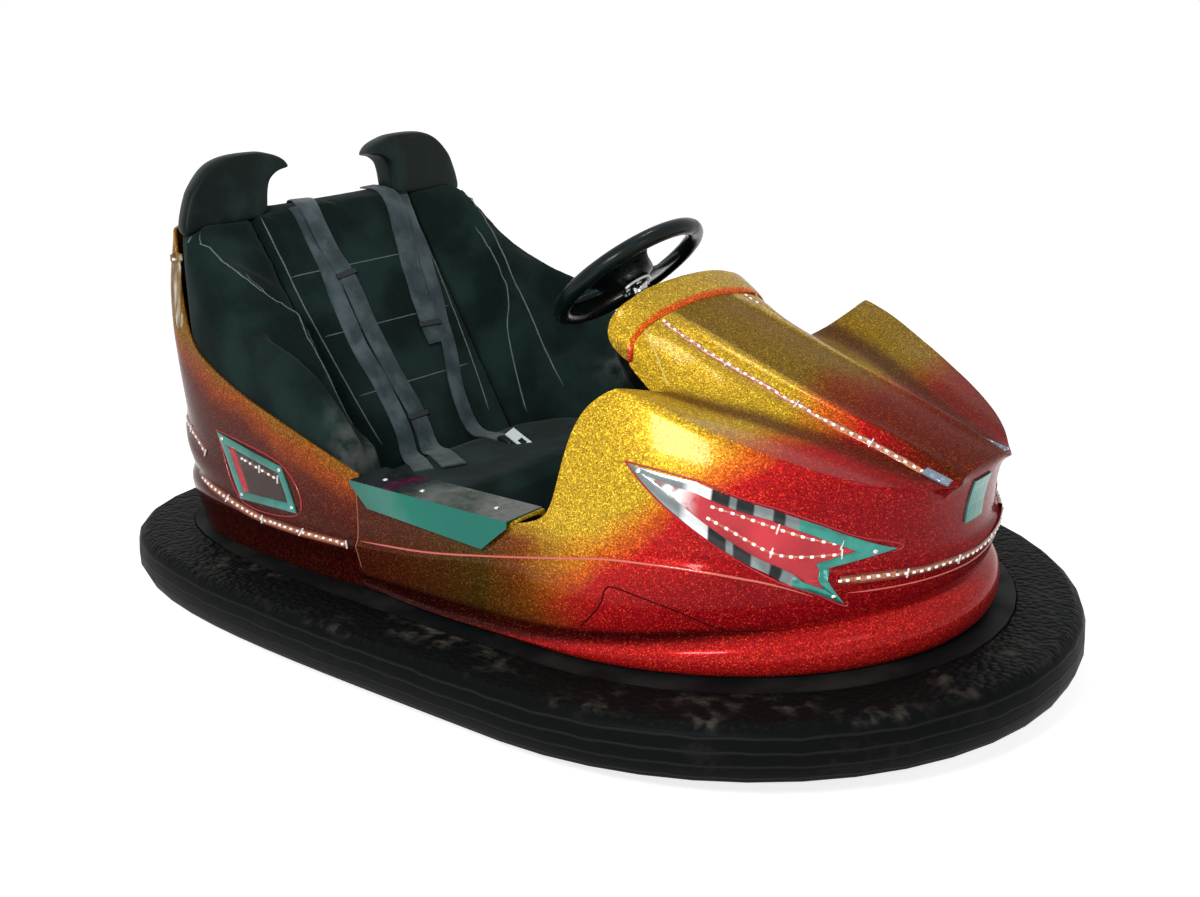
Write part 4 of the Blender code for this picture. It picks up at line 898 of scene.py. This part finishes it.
def light_strip(name, skin, path, width=0.009, bed=0.015):
    """Bed, tape, lamps and clips along a line."""
    trace(name + "_bed", strip_bed, skin, path, bed, BED_HEIGHT, TAPE)
    trace(name + "_tape", copper_tape, skin, path, width, TAPE_HEIGHT)
    for stem, model, step, rise, finish in (("_lamps", lamp_model, LAMP_STEP, LAMP_RISE, lamp_white),
                                            ("_clips", clip_model, CLIP_STEP, CLIP_RISE, clip_white)):
        frames = []
        for place, facing, across in zip(*lay_line(skin, path, step)):
            frames.append(stand_at(place + facing * rise, facing, across.cross(facing)))
        shown = frames[:-1] if model is lamp_model else frames[1:]
        wear(repeat(model, shown), name + stem, finish)


print("lamp", len(lamp_model.data.polygons), "faces, clip", len(clip_model.data.polygons), "faces")

# %% Lines of the light strips
HOOD_LINE = ((0.279, -0.128, 0.662), *((x, -y, z) for x, y, z in FOLD[1:-1]), (0.816, -0.104, 0.460))
FRONT_BELT = ((0.722, -0.276, 0.331), (0.746, -0.241, 0.330), (0.778, -0.185, 0.326), (0.795, -0.144, 0.322),
              (0.809, -0.097, 0.321), (0.818, -0.034, 0.317), (0.819, 0.0, 0.316))
REAR_BELT = (
    (-0.757, -0.330, 0.285), (-0.735, -0.385, 0.283), (-0.667, -0.433, 0.279), (-0.560, -0.458, 0.264),
    (-0.465, -0.471, 0.253), (-0.417, -0.473, 0.251), (-0.327, -0.477, 0.251), (-0.200, -0.474, 0.253),
)
TAIL_LOBE = (
    (-0.790, -0.360, 0.392), (-0.765, -0.392, 0.383), (-0.699, -0.423, 0.366), (-0.653, -0.438, 0.341),
)
UPPER_ROW = ((0.559, 0.453), (0.591, 0.442), (0.622, 0.429), (0.654, 0.414), (0.685, 0.399), (0.716, 0.386))
LOWER_ROW = ((0.555, 0.435), (0.585, 0.417), (0.612, 0.398), (0.631, 0.385),
             (0.652, 0.375), (0.682, 0.371), (0.716, 0.371))
QUARTER_ROW = ((-0.513, 0.358), (-0.400, 0.338))
ROWS = (("arrow_row_0_", front_skin, UPPER_ROW), ("arrow_row_1_", front_skin, LOWER_ROW),
        ("quarter_row_", rear_skin, QUARTER_ROW))
CAP_PLACE = (0.795, 0.106, 0.468)
CAP_SLOPE = Vector((1.0, 0.0, -0.4))

light_strip("front_belt", front_skin, across_nose(FRONT_BELT))
for side, word in SIDES:
    light_strip("hood_" + word, front_skin, on_side(HOOD_LINE, side), width=0.010, bed=0.012)
    light_strip("rear_belt_" + word, rear_skin, on_side(REAR_BELT, side))
    light_strip("tail_" + word, rear_skin, on_side(TAIL_LOBE, side))
    for stem, skin, row in ROWS:
        light_strip(stem + word, skin, side_line(skin, row, side), width=0.006, bed=0.010)
cap_clear = start_finish("cap_clear", (0.30, 0.45, 0.60), 0.08, transmission_weight=0.55, coat=0.8)
cap_model = small_block((0.048, 0.017, 0.007), 0.0022)
landed = [front_skin.find_nearest(Vector(place)) for side, _ in SIDES for place in on_side([CAP_PLACE], side)]
wear(repeat(cap_model, [stand_at(hit[0], hit[1], CAP_SLOPE) for hit in landed]), "hood_strip_caps", cap_clear)
print("light strips laid")

# %% [markdown]
# ## Lines in the moulding
# A service hatch is let into the lower side, a low bead with a painted highlight runs along the belt crease
# and round the nose, and the front and rear mouldings meet at an open seam. These are thin strips on the
# skin, darker or brighter than the paint.

# %% Lines in the moulding
HATCH = ((0.343, 0.223), (0.384, 0.268), (0.400, 0.303), (0.423, 0.306), (0.504, 0.281), (0.561, 0.254),
         (0.586, 0.245), (0.634, 0.246))
BELT_EDGE = ((-0.170, 0.264), (0.0, 0.281), (0.160, 0.309), (0.316, 0.340), (0.401, 0.354), (0.475, 0.356),
             (0.541, 0.352), (0.616, 0.340), (0.656, 0.326), (0.690, 0.306))
NOSE_EDGE = ((0.727, -0.260, 0.306), (0.772, -0.183, 0.303), (0.804, -0.094, 0.300), (0.812, 0.0, 0.298))
SEAM = [(-0.1775, 0.48, height) for height in (0.380, 0.330, 0.262, 0.246, 0.205)]
PARTING = ((0.235, -0.166, 0.672), (0.262, -0.170, 0.664), (0.302, -0.189, 0.630), (0.332, -0.205, 0.596),
           (0.353, -0.217, 0.576))
dark_line = start_finish("dark_joint", (0.035, 0.002, 0.002), 0.6, shine=0.05)
# A painted highlight for the bead along the belt crease and the nose edge
belt_glint = start_finish("belt_glint", (0.60, 0.12, 0.09), 0.15, coat=1.0)
seam_crack = start_finish("seam_crack", (0.34, 0.13, 0.07), 0.7)
parting_pale = start_finish("parting_pale", (0.62, 0.48, 0.12), 0.3, coat=0.5)
neck_skin = skin_of(neck_cowl, front_shell)
for side, word in SIDES:
    trace("hatch_line_" + word, dark_line, front_skin, side_line(front_skin, HATCH, side),
          0.0028, 0.0003, TAPE)
    trace("belt_edge_" + word, belt_glint, front_skin, side_line(front_skin, BELT_EDGE, side),
          0.004, 0.0016, taper=0.1)
    trace("seam_crack_" + word, seam_crack, front_skin, on_side(SEAM, side),
          0.0022, 0.0004, TAPE)
    trace("cowl_parting_" + word, parting_pale, neck_skin, on_side(PARTING, side),
          0.0028, 0.0008, taper=0.1)
trace("nose_edge", belt_glint, front_skin, across_nose(NOSE_EDGE), 0.003, 0.0012, taper=0.1)
print("hatch and belt lines laid")

# %% [markdown]
# ## Seat upholstery
# The two-seat bench and its wings are foam under a black suede-like cloth, gone grey where riders rub
# it. Each pad starts from its CAD solid, remeshed fine. Cloth pressure then swells it a little, held
# by a cap on how far a point may move, and one subdivision rounds what is left.

# %% Seat cloth
def worn_suede():
    """Black-green cloth with a brushed nap, rubbed grey at the wings' front corners."""
    finish = start_finish("worn_suede", (0.010, 0.016, 0.015), 0.92, shine=0.03, sheen_weight=0.04,
                          sheen_roughness=0.5)
    x, _, z = place_of(finish).parts()
    nap = cloud(finish, 160.0, 3.0)
    shade = cloud(finish, 7.0, 6.0).span(0.38, 0.68).mix((0.0036, 0.0090, 0.0082), (0.0125, 0.0290, 0.0265))
    shade = (nap * 0.28).mix(shade, (0.020, 0.038, 0.035))
    rubbed = x.span(-0.285, -0.215) * z.span(0.355, 0.395) * cloud(finish, 30.0, 4.0).span(0.3, 0.7)
    dress(finish, base_color=(rubbed * 0.85).mix(shade, (0.085, 0.095, 0.088)),
          normal=bump(finish, nap, 0.0012, 0.5, bump(finish, cloud(finish, 16.0, 2.0), 0.006, 0.25)))
    return finish


suede = worn_suede()
seam_thread = start_finish("seam_thread", (0.075, 0.095, 0.09), 0.85)
dress(seam_thread, base_color=cloud(seam_thread, 60.0, 3.0).mix((0.035, 0.050, 0.048), (0.19, 0.23, 0.22)))
print("seat cloth ready")

# %% Pads
VOXEL = 0.0075
ROUNDING = 6
SHRINK = 0.003
SWELL_FRAMES = 20
SWELL_PRESSURE = 4.0


def swell(pad, cap):
    """Blow a pad up as cloth, and hold each point within the cap."""
    rest = [vertex.co.copy() for vertex in pad.data.vertices]
    cloth = pad.modifiers.new("cloth", "CLOTH")
    cloth.settings.use_pressure = True
    cloth.settings.uniform_pressure_force = SWELL_PRESSURE
    cloth.settings.effector_weights.gravity = 0.0
    cloth.collision_settings.use_collision = False
    for step in range(1, SWELL_FRAMES + 1):
        bpy.context.scene.frame_set(step)
    apply_all(pad)
    bpy.context.scene.frame_set(1)
    for vertex, start in zip(pad.data.vertices, rest):
        moved = vertex.co - start
        if moved.length > cap:
            vertex.co = start + moved * (cap / moved.length)


def make_pad(node, name, cap):
    """A soft pad in the place of a CAD solid."""
    pad = copy_node(node)
    modify(pad, "REMESH", mode="VOXEL", voxel_size=VOXEL)
    modify(pad, "SMOOTH", iterations=ROUNDING)
    modify(pad, "DISPLACE", strength=-SHRINK, mid_level=0.0)
    apply_all(pad)
    swell(pad, cap)
    modify(pad, "SUBSURF", levels=1, render_levels=1)
    apply_all(pad)
    smooth(pad, 60.0)
    wear(pad, name, suede, stands_for=[node])
    print(name, len(pad.data.polygons), "faces")
    return pad


back_pad = make_pad("seat_back", "back_pad", 0.007)
bench_pad = make_pad("seat_cushion", "bench_pad", 0.008)
wing_left = make_pad("bolster_left", "wing_left", 0.006)
wing_right = make_pad("bolster_right", "wing_right", 0.006)
seat_skin = skin_of(back_pad, bench_pad, wing_left, wing_right)

# %% [markdown]
# ## Seams
# The cover is sewn from panels. The seams stand a hair proud and have gone pale with wear, so they show
# as thin light lines on the black cloth.

# %% Seams
SEAMS = {
    "crest": ((-0.690, 0.372, 0.785), (-0.655, 0.388, 0.763), (-0.610, 0.372, 0.731), (-0.566, 0.351, 0.698),
              (-0.526, 0.330, 0.665), (-0.485, 0.307, 0.634), (-0.454, 0.305, 0.578), (-0.418, 0.303, 0.519),
              (-0.363, 0.300, 0.420), (-0.330, 0.309, 0.360)),
    "back": ((-0.695, 0.210, 0.787), (-0.640, 0.203, 0.690), (-0.585, 0.200, 0.600), (-0.481, 0.177, 0.412),
             (-0.432, 0.162, 0.322)),
    "knee": ((-0.600, 0.330, 0.700), (-0.494, 0.300, 0.600), (-0.463, 0.280, 0.545), (-0.455, 0.265, 0.480),
             (-0.415, 0.250, 0.368), (-0.380, 0.235, 0.305)),
    "top": ((-0.693, 0.385, 0.785), (-0.691, 0.405, 0.778), (-0.690, 0.425, 0.770)),
}
# Place, height and half width of each seam across the back
CROSS_SEAMS = ((-0.627, 0.663, 0.20300), (-0.557, 0.542, 0.18364), (-0.487, 0.421, 0.16428))
SEAM_WIDTH = 0.0032
SEAM_HEIGHT = 0.0011
SEAM_TAPER = 0.08

for side, word in SIDES:
    for stem, path in SEAMS.items():
        trace(stem + "_seam_" + word, seam_thread, seat_skin, on_side(path, side),
              SEAM_WIDTH, SEAM_HEIGHT, taper=SEAM_TAPER)
for number, (x, z, half) in enumerate(CROSS_SEAMS):
    path = [(x, half * share, z) for share in (-1.0, -0.4, 0.3, 1.0)]
    trace("cross_seam_" + str(number), seam_thread, seat_skin, path,
          0.0022, 0.0005, taper=SEAM_TAPER)
print("seams laid")

# %% [markdown]
# ## Headrests
# Two hooked wings of moulded foam stand on the seat's shoulders. The CAD shape is a plain loft. Three
# rounds of subdivision with hardly any crease give it the pressed, skin-like form of the real one, and
# its foot is then drawn down onto the shoulder.

# %% Headrests
foam = start_finish("moulded_foam", (0.006, 0.0105, 0.010), 0.48, shine=0.14)
dress(foam, normal=bump(foam, cloud(foam, 260.0, 4.0), 0.0008, 0.45),
      base_color=cloud(foam, 14.0, 5.0).span(0.4, 0.75).mix((0.0022, 0.006, 0.0054), (0.010, 0.024, 0.022)))
HEAD_OUTER = 0.405
HEAD_NARROW = 0.93
HEAD_SINK = 0.016
OUTER_SINK = 0.030
TIP_SINK = 0.012
for side, word in SIDES:
    node = "headrest_" + word
    rest = copy_node(node)
    subdivide_smooth(rest, 3, sharp=60.0, crease=0.28)
    low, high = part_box(node)
    for vertex in rest.data.vertices:
        beside = abs(vertex.co.y)
        level = (vertex.co.z - low.z) / (high.z - low.z)
        root = max(0.0, 1.0 - level / 0.45)
        tip = max(0.0, (0.17 - beside) / 0.08)
        outer = max(0.0, (beside - 0.33) / 0.07)
        vertex.co.y = side * (HEAD_OUTER - (HEAD_OUTER - beside) * HEAD_NARROW)
        vertex.co.z -= HEAD_SINK * root + OUTER_SINK * outer * root + TIP_SINK * tip
    wear(rest, "head_wing_" + word, foam, stands_for=[node])
print("headrests made")

# %% [markdown]
# ## Shoulder straps
# Two woven straps hang over the seat back, each doubled by its slide bar, and one ends in a steel
# tongue. A strap is a flat band laid down the pads, eased where it bridges a hollow. The weave
# follows the band's own map: ribs along it and fine picks across.

# %% Strap cloth
def woven_strap():
    """Grey webbing: the ribs run along the band's own map."""
    finish = start_finish("woven_strap", (0.045, 0.07, 0.078), 0.6, shine=0.2, sheen_weight=0.1)
    wide, long, _ = Value(finish, "TexCoord", output="UV").parts()
    weave = (wide * 95.0).sine() * 0.5 + (long * 1900.0).sine() * 0.5
    light = cloud(finish, 18.0, 5.0).span(0.35, 0.7).mix((0.018, 0.034, 0.039), (0.082, 0.116, 0.128))
    dress(finish, base_color=weave.span(-1.0, 1.0, 0.0, 0.35).mix(light, (0.015, 0.024, 0.028)),
          normal=bump(finish, weave, 0.0004, 0.6))
    return finish


strap_cloth = woven_strap()
strap_plastic = start_finish("slide_bar_plastic", (0.010, 0.015, 0.017), 0.4, shine=0.25)
STRAP_WIDTH = 0.049
STRAP_THICKNESS = 0.0028
STRAP_STEP = 0.008
EASING = 12
WAVE_HEIGHT = 0.0022
WAVES = 19.0
WAVE_SHIFT = 900
WAVE_FADE = 6


def eased(line, rounds):
    """Let a line bridge the hollows under it."""
    places, facings, across = line
    for _ in range(rounds):
        for values in (places, facings, across):
            values[1:-1] = [(before + here * 2 + after) / 4
                            for before, here, after in zip(values, values[1:-1], values[2:])]
    return places, [way.normalized() for way in facings], [way.normalized() for way in across]


def strap(name, path, lift, width=STRAP_WIDTH, twist=0.0, stands_for=()):
    """A flat band down the seat, a little wavy, that leans by the twist."""
    places, facings, across = eased(lay_line(seat_skin, path, STRAP_STEP), EASING)
    for number, place in enumerate(places):
        share = number / (len(places) - 1)
        fade = min(share * WAVE_FADE, (1 - share) * WAVE_FADE, 1.0)
        wave = WAVE_HEIGHT * math.sin(share * WAVES + lift * WAVE_SHIFT) * fade
        places[number] = place + facings[number] * (lift + abs(wave))
        lean = Matrix.Rotation(twist * math.sin(share * math.pi), 3, facings[number].cross(across[number]))
        across[number] = lean @ across[number]
        facings[number] = lean @ facings[number]
    line = (places, facings, across)
    wear(lay_strip(line, width, STRAP_THICKNESS), name, strap_cloth, stands_for=stands_for)
    return line


def slide_bar(name, line, point):
    """A plastic bar that the doubled strap runs through, at the line's nearest place to a point."""
    number = min(range(len(line[0])), key=lambda spot: (line[0][spot] - Vector(point)).length)
    place, facing, across = (values[number] for values in line)
    bar = small_block((0.013, STRAP_WIDTH + 0.012, 0.0055), 0.0015)
    bar.data.transform(stand_at(place, facing, across.cross(facing)))
    smooth(bar)
    wear(bar, name, strap_plastic)


print("strap", STRAP_WIDTH, "wide and", STRAP_THICKNESS, "thick")

# %% Straps on the seat
NEAR_STRAP = (
    (-0.786, -0.036, 0.760), (-0.784, -0.036, 0.800), (-0.742, -0.055, 0.803), (-0.700, -0.083, 0.795),
    (-0.679, -0.086, 0.757), (-0.643, -0.081, 0.694), (-0.617, -0.068, 0.648), (-0.583, -0.066, 0.588),
    (-0.541, -0.065, 0.513), (-0.498, -0.056, 0.437), (-0.464, -0.046, 0.378), (-0.430, -0.046, 0.320),
    (-0.385, -0.060, 0.290), (-0.300, -0.110, 0.298), (-0.222, -0.160, 0.307),
)
NEAR_UNDER = (
    (-0.702, -0.108, 0.792), (-0.658, -0.108, 0.721), (-0.623, -0.106, 0.658), (-0.595, -0.112, 0.609),
    (-0.563, -0.114, 0.552), (-0.531, -0.112, 0.496), (-0.498, -0.100, 0.438), (-0.466, -0.096, 0.382),
    (-0.430, -0.098, 0.320), (-0.375, -0.125, 0.291), (-0.269, -0.200, 0.302),
)
FAR_STRAP = ((-0.784, 0.168, 0.770), (-0.782, 0.168, 0.800), (-0.740, 0.163, 0.803), (-0.698, 0.157, 0.792),
             (-0.655, 0.139, 0.716), (-0.616, 0.120, 0.646), (-0.577, 0.106, 0.577), (-0.541, 0.097, 0.513),
             (-0.519, 0.096, 0.476))
FAR_UNDER = ((-0.692, 0.180, 0.780), (-0.628, 0.172, 0.668), (-0.588, 0.160, 0.597), (-0.545, 0.140, 0.521),
             (-0.503, 0.122, 0.446), (-0.473, 0.100, 0.395), (-0.447, 0.090, 0.350), (-0.405, 0.090, 0.297),
             (-0.345, 0.082, 0.293), (-0.285, 0.058, 0.300))
UPPER_LIFT = 0.0045
UNDER_LIFT = 0.0012
near_line = strap("near_strap", NEAR_STRAP, UPPER_LIFT, twist=0.10, stands_for=["belt_right"])
strap("near_under_strap", NEAR_UNDER, UNDER_LIFT, 0.040, twist=-0.16)
far_line = strap("far_strap", FAR_STRAP, UPPER_LIFT, twist=-0.08, stands_for=["belt_left"])
strap("far_under_strap", FAR_UNDER, UNDER_LIFT, 0.042, twist=0.12)
slide_bar("near_slide_bar", near_line, NEAR_STRAP[6])
slide_bar("far_slide_bar", far_line, FAR_STRAP[7])
slide_bar("near_lower_bar", near_line, (-0.450, -0.046, 0.355))
print("straps laid")

# %% Steel tongue
TONGUE_PLACE = Vector((-0.268, 0.052, 0.307))
TONGUE_WAY = Vector((0.85, -0.25, 0.12)).normalized()
TONGUE_FACING = Vector((0.35, -0.45, 0.8))
tongue = small_block((0.058, 0.026, 0.0025), 0.0008)
hole_tool = small_block((0.018, 0.012, 0.02), 0.001)
hole_tool.data.transform(Matrix.Translation((0.012, 0.0, -0.01)))
cut_out(tongue, hole_tool)
tongue.data.transform(stand_at(TONGUE_PLACE + TONGUE_WAY * 0.038 + UP * 0.007, TONGUE_FACING, TONGUE_WAY))
tongue_steel = start_finish("tongue_steel", (0.50, 0.56, 0.56), 0.35, metallic=0.4)
wear(tongue, "steel_tongue", tongue_steel, stands_for=["belt_tongue"])
housing = small_block((0.050, 0.034, 0.012), 0.003)
housing.data.transform(stand_at(TONGUE_PLACE - UP * 0.005, UP, TONGUE_WAY))
smooth(housing)
wear(housing, "tongue_housing", strap_plastic)
print("tongue at", [round(value, 3) for value in TONGUE_PLACE])

# %% [markdown]
# ## Steering wheel
# A thick moulded rim, three broad webs that dish down to the hub, and a chrome collar with bolts under
# it. The wheel is modelled lying flat, where a circle is easy to think about, and is then stood on the
# column's slope as one last step.

# %% Steering wheel
WHEEL_CENTRE = Vector((0.103, 0.0, 0.711))
WHEEL_TILT = math.radians(50.5)
RIM_RADIUS = 0.1455
RIM_THICKNESS = 0.0158
HUB_RADIUS = 0.036
WEB_START = HUB_RADIUS * 0.6
WEB_END = RIM_RADIUS - 0.006
WEB_ROWS = 13
WEB_COLUMNS = 11
WEB_THICKNESS = 0.012
HUB_FLARE = 0.012
RIM_FLARE = 0.026
DISH = 0.020
HOLLOW = 0.0035
# Direction in degrees and half width of each web
WEBS = ((-60.0, 0.055), (98.0, 0.030), (214.0, 0.046))
wheel_up = Vector((-math.cos(WHEEL_TILT), 0.0, math.sin(WHEEL_TILT)))
on_column = stand_at(WHEEL_CENTRE, wheel_up, Vector((math.sin(WHEEL_TILT), 0.0, math.cos(WHEEL_TILT))))

wheel_black = start_finish("wheel_black", (0.003, 0.0070, 0.0072), 0.30, coat=0.3, shine=0.12)
dress(wheel_black, roughness=cloud(wheel_black, 45.0, 4.0).span(0.3, 0.75, 0.20, 0.46),
      normal=bump(wheel_black, cloud(wheel_black, 300.0, 3.0), 0.0005, 0.25))

bpy.ops.mesh.primitive_torus_add(major_segments=96, minor_segments=24, major_radius=RIM_RADIUS,
                                 minor_radius=RIM_THICKNESS)
wheel_rim = bpy.context.object
smooth(wheel_rim, 60.0)
wheel_rim.data.transform(on_column)
wear(wheel_rim, "wheel_rim", wheel_black, "steering", stands_for=["steering_wheel"])
print("wheel", round(2 * (RIM_RADIUS + RIM_THICKNESS), 3), "across")


# %% Webs and hub
def wheel_web(angle, middle):
    """A broad web: narrow in the middle, flared to the hub and to the rim, and dished."""
    bpy.ops.mesh.primitive_grid_add(x_subdivisions=WEB_COLUMNS - 1, y_subdivisions=WEB_ROWS - 1, size=1.0)
    web = bpy.context.object
    for number, vertex in enumerate(web.data.vertices):
        across = (number % WEB_COLUMNS) * 2.0 / (WEB_COLUMNS - 1) - 1.0
        share = (number // WEB_COLUMNS) / (WEB_ROWS - 1)
        reach = WEB_START + (WEB_END - WEB_START) * share
        half = middle + HUB_FLARE * (1 - share) ** 3 + RIM_FLARE * share ** 4
        spread = across * half / max(reach, 0.03)
        low = -DISH * (1 - share ** 1.6) + HOLLOW * across * across * (1 - share)
        vertex.co = (reach * math.cos(spread), reach * math.sin(spread), low)
    modify(web, "SOLIDIFY", thickness=WEB_THICKNESS, offset=0.0)
    bevel_edges(web, 0.0026, 3, 50.0)
    apply_all(web)
    smooth(web)
    web.data.transform(on_column @ Matrix.Rotation(math.radians(angle), 4, "Z"))
    return web


def turned_shape(profile, steps=48):
    """Spin an outline of (radius, height) round the column, with both ends closed."""
    bpy.ops.mesh.primitive_grid_add(x_subdivisions=steps, y_subdivisions=len(profile) - 1, size=1.0)
    shape = bpy.context.object
    for number, vertex in enumerate(shape.data.vertices):
        radius, height = profile[number // (steps + 1)]
        angle = 2 * math.pi * (number % (steps + 1)) / steps
        vertex.co = (radius * math.cos(angle), radius * math.sin(angle), height)
    close_up(shape)
    smooth(shape)
    return shape


for number, (angle, middle) in enumerate(WEBS):
    wear(wheel_web(angle, middle), "wheel_web_" + str(number), wheel_black, "steering")
# Radius and height of each corner that is turned
HUB = ((0.0001, -0.026), (0.030, -0.026), (0.034, -0.022), (HUB_RADIUS, -0.012), (0.033, -0.006),
       (0.026, -0.003), (0.012, -0.001), (0.0001, -0.001))
hub = turned_shape(HUB)
hub.data.transform(on_column)
wear(hub, "wheel_hub", wheel_black, "steering")
print("webs and hub made")

# %% [markdown]
# ## Chrome collar
# Under the hub a chromed flange carries a ring of bolts and tapers to the column. Both are turned shapes.

# %% Chrome collar
BOLT_CIRCLE = 0.0255
BOLT_SEAT = -0.0315
COLLAR = ((0.0125, -0.062), (0.020, -0.062), (0.021, -0.058), (0.0165, -0.050), (0.0155, -0.042),
          (0.020, -0.034), (0.031, -0.031), (0.032, -0.027), (0.030, -0.0262), (0.0125, -0.0262))
BOLT = ((0.0001, 0.0), (0.0042, 0.0), (0.0045, 0.0006), (0.0045, 0.0034), (0.0038, 0.0042), (0.0001, 0.0042))
chrome = start_finish("chrome", (0.42, 0.44, 0.44), 0.12, metallic=1.0)
dress(chrome, roughness=cloud(chrome, 70.0, 4.0).span(0.35, 0.75, 0.06, 0.22))
collar = turned_shape(COLLAR)
collar.data.transform(on_column)
wear(collar, "chrome_collar", chrome, "steering")
bolt_model = turned_shape(BOLT, 6)
bolt_places = []
for angle in (math.radians(60 * number + 20) for number in range(6)):
    place = Vector((BOLT_CIRCLE * math.cos(angle), BOLT_CIRCLE * math.sin(angle), BOLT_SEAT))
    bolt_places.append(on_column @ stand_at(place, -UP, AHEAD))
wear(repeat(bolt_model, bolt_places), "collar_bolts", chrome, "steering")
print("collar made")

# %% [markdown]
# ## Sill plates
# Mirror sheet is folded over the sills where riders step in: a dark top with a painted reflection of the sky,
# a teal outer flange with a painted glare, and three rivets. The CAD plates have the real folds, so they stay
# and get the finish, which paints top and flange differently by the way the surface faces.

# %% Sill plates
def sill_mirror():
    """Painted reflections: dark with a pink and a pale band on top, teal with a painted glare on the flange.
    """
    finish = start_finish("sill_mirror", (0.1, 0.3, 0.26), 0.14, metallic=0.3, coat=0.15, shine=0.15)
    upper = Value(finish, "NewGeometry", output="Normal").parts()[2].span(0.4, 0.8)
    glare = (place_of(finish).parts()[0] + cloud(finish, 9.0, 3.0) * 0.2).span(-0.16, 0.24)
    flange = glare.ramp((0.0, (0.015, 0.115, 0.090)), (0.45, (0.050, 0.190, 0.150)),
                        (0.62, (0.008, 0.165, 0.120)), (1.0, (0.008, 0.140, 0.105)))
    top = glare.ramp((0.0, (0.015, 0.02, 0.022)), (0.42, (0.02, 0.022, 0.024)), (0.50, (0.12, 0.01, 0.06)),
                     (0.60, (0.02, 0.03, 0.03)), (0.85, (0.22, 0.24, 0.22)), (1.0, (0.05, 0.06, 0.05)))
    dress(finish, base_color=upper.mix(flange, top),
          roughness=cloud(finish, 60.0, 4.0).span(0.3, 0.8, 0.08, 0.3))
    return finish


def paint_nodes(finish, *names):
    """Give carried-over CAD nodes their finish."""
    for name in names:
        nodes[name].data.materials.clear()
        nodes[name].data.materials.append(finish)


# x and distance from the middle of each rivet
RIVETS = ((-0.120, 0.440), (-0.020, 0.446), (0.150, 0.438))
RIVET = ((0.0001, 0.0), (0.0052, 0.0), (0.0046, 0.0014), (0.0028, 0.0024), (0.0001, 0.0028))
rivet_model = turned_shape(RIVET, 18)
paint_nodes(sill_mirror(), "sill_plate_left", "sill_plate_right")
for side, word in SIDES:
    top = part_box("sill_plate_" + word)[1].z - 0.0002
    frames = [stand_at(Vector((x, side * y, top)), UP, AHEAD) for x, y in RIVETS]
    wear(repeat(rivet_model, frames), "sill_rivets_" + word, bright_metal)
print("sill plates finished")

# %% [markdown]
# ## Clear edge guards
# A clear plastic guard is pushed over the rear shell's upper corners. It is a thin strip down the corner; its
# finish shows the brown and gold shell under it, and long streaks of painted glare in the curved plastic.

# %% Clear edge guards
def guard_with_painted_glare():
    """Painted streaks along the guard: white glare, the brown shell, and gold paint with a painted highlight.
    """
    finish = start_finish("guard_with_painted_glare", (0.4, 0.25, 0.1), 0.12, transmission_weight=0.25, coat=0.8)
    x, y, z = place_of(finish).parts()
    streaks = cloud(finish, 1.6, 3.0, Value(finish, "CombineXYZ", {0: x * 60.0, 1: y * 60.0, 2: z * 4.0}))
    dress(finish, base_color=streaks.ramp((0.30, (0.10, 0.03, 0.008)), (0.45, (0.34, 0.17, 0.03)),
                                          (0.56, (0.55, 0.45, 0.25)), (0.66, (0.85, 0.85, 0.80))))
    return finish


guard_clear = guard_with_painted_glare()
GUARD = ((-0.735, 0.600), (-0.746, 0.640), (-0.752, 0.680), (-0.755, 0.710), (-0.756, 0.735), (-0.756, 0.748))
GUARD_SIDE = 0.47
for side, word in SIDES:
    path = [(x, side * GUARD_SIDE, z) for x, z in GUARD]
    trace("edge_guard_" + word, guard_clear, rear_skin, path, 0.024, 0.0025, TAPE, taper=0.04)
print("guards laid")

# %% [markdown]
# ## Hidden metal, tyres and fittings
# What carries the car is painted steel, turned steel and solid rubber. None of it shows from above, but
# each part has its own finish, with road dust low down and bare metal where things rub.

# %% Finishes for the rest
def dusty(name, color, dust, roughness, metallic=0.0, scale=9.0):
    """A plain finish under uneven dust, with a fine grain."""
    finish = start_finish(name, color, roughness, metallic=metallic, shine=0.06)
    film = cloud(finish, scale, 6.0).span(0.42, 0.75)
    dress(finish, base_color=film.mix(color, dust),
          roughness=film.span(0.0, 1.0, roughness, min(roughness + 0.3, 1.0)),
          normal=bump(finish, cloud(finish, 220.0, 4.0), 0.0006, 0.4))
    return finish


black_steel = dusty("black_steel", (0.005, 0.006, 0.0065), (0.018, 0.018, 0.017), 0.5)
panel_black = dusty("panel_black", (0.008, 0.010, 0.010), (0.022, 0.026, 0.026), 0.5, scale=16.0)
turned_steel = dusty("turned_steel", (0.42, 0.43, 0.43), (0.16, 0.15, 0.14), 0.28, metallic=1.0, scale=22.0)
tyre_rubber = dusty("tyre_rubber", (0.014, 0.014, 0.014), (0.09, 0.085, 0.075), 0.8, scale=30.0)
housing_grey = dusty("housing_grey", (0.14, 0.145, 0.15), (0.10, 0.095, 0.085), 0.5, scale=14.0)
paint_nodes(black_steel, "bumper_band", "floor_pan", "chassis_frame", "column_bush", "drive_tower",
            "axle_left", "axle_right", "drive_fork")
paint_nodes(panel_black, "dash_panel", "seat_base")
paint_nodes(turned_steel, "turn_bearing", "pedal", "drive_hub", "rear_left_hub", "rear_right_hub")
paint_nodes(tyre_rubber, "drive_tyre", "rear_left_tyre", "rear_right_tyre")
paint_nodes(housing_grey, "battery", "drive_motor")
paint_nodes(chrome, "steering_shaft")
print("hidden parts finished")

# %% [markdown]
# ## Clearing away the small models
# The small models that were copied have done their work and go, and the view transform is set to Standard.
# The dressed model has to keep the real size.


for model in (screw_model, lamp_model, clip_model, cap_model, bolt_model, rivet_model):
    discard(model)
bpy.context.scene.view_settings.view_transform = "Standard"
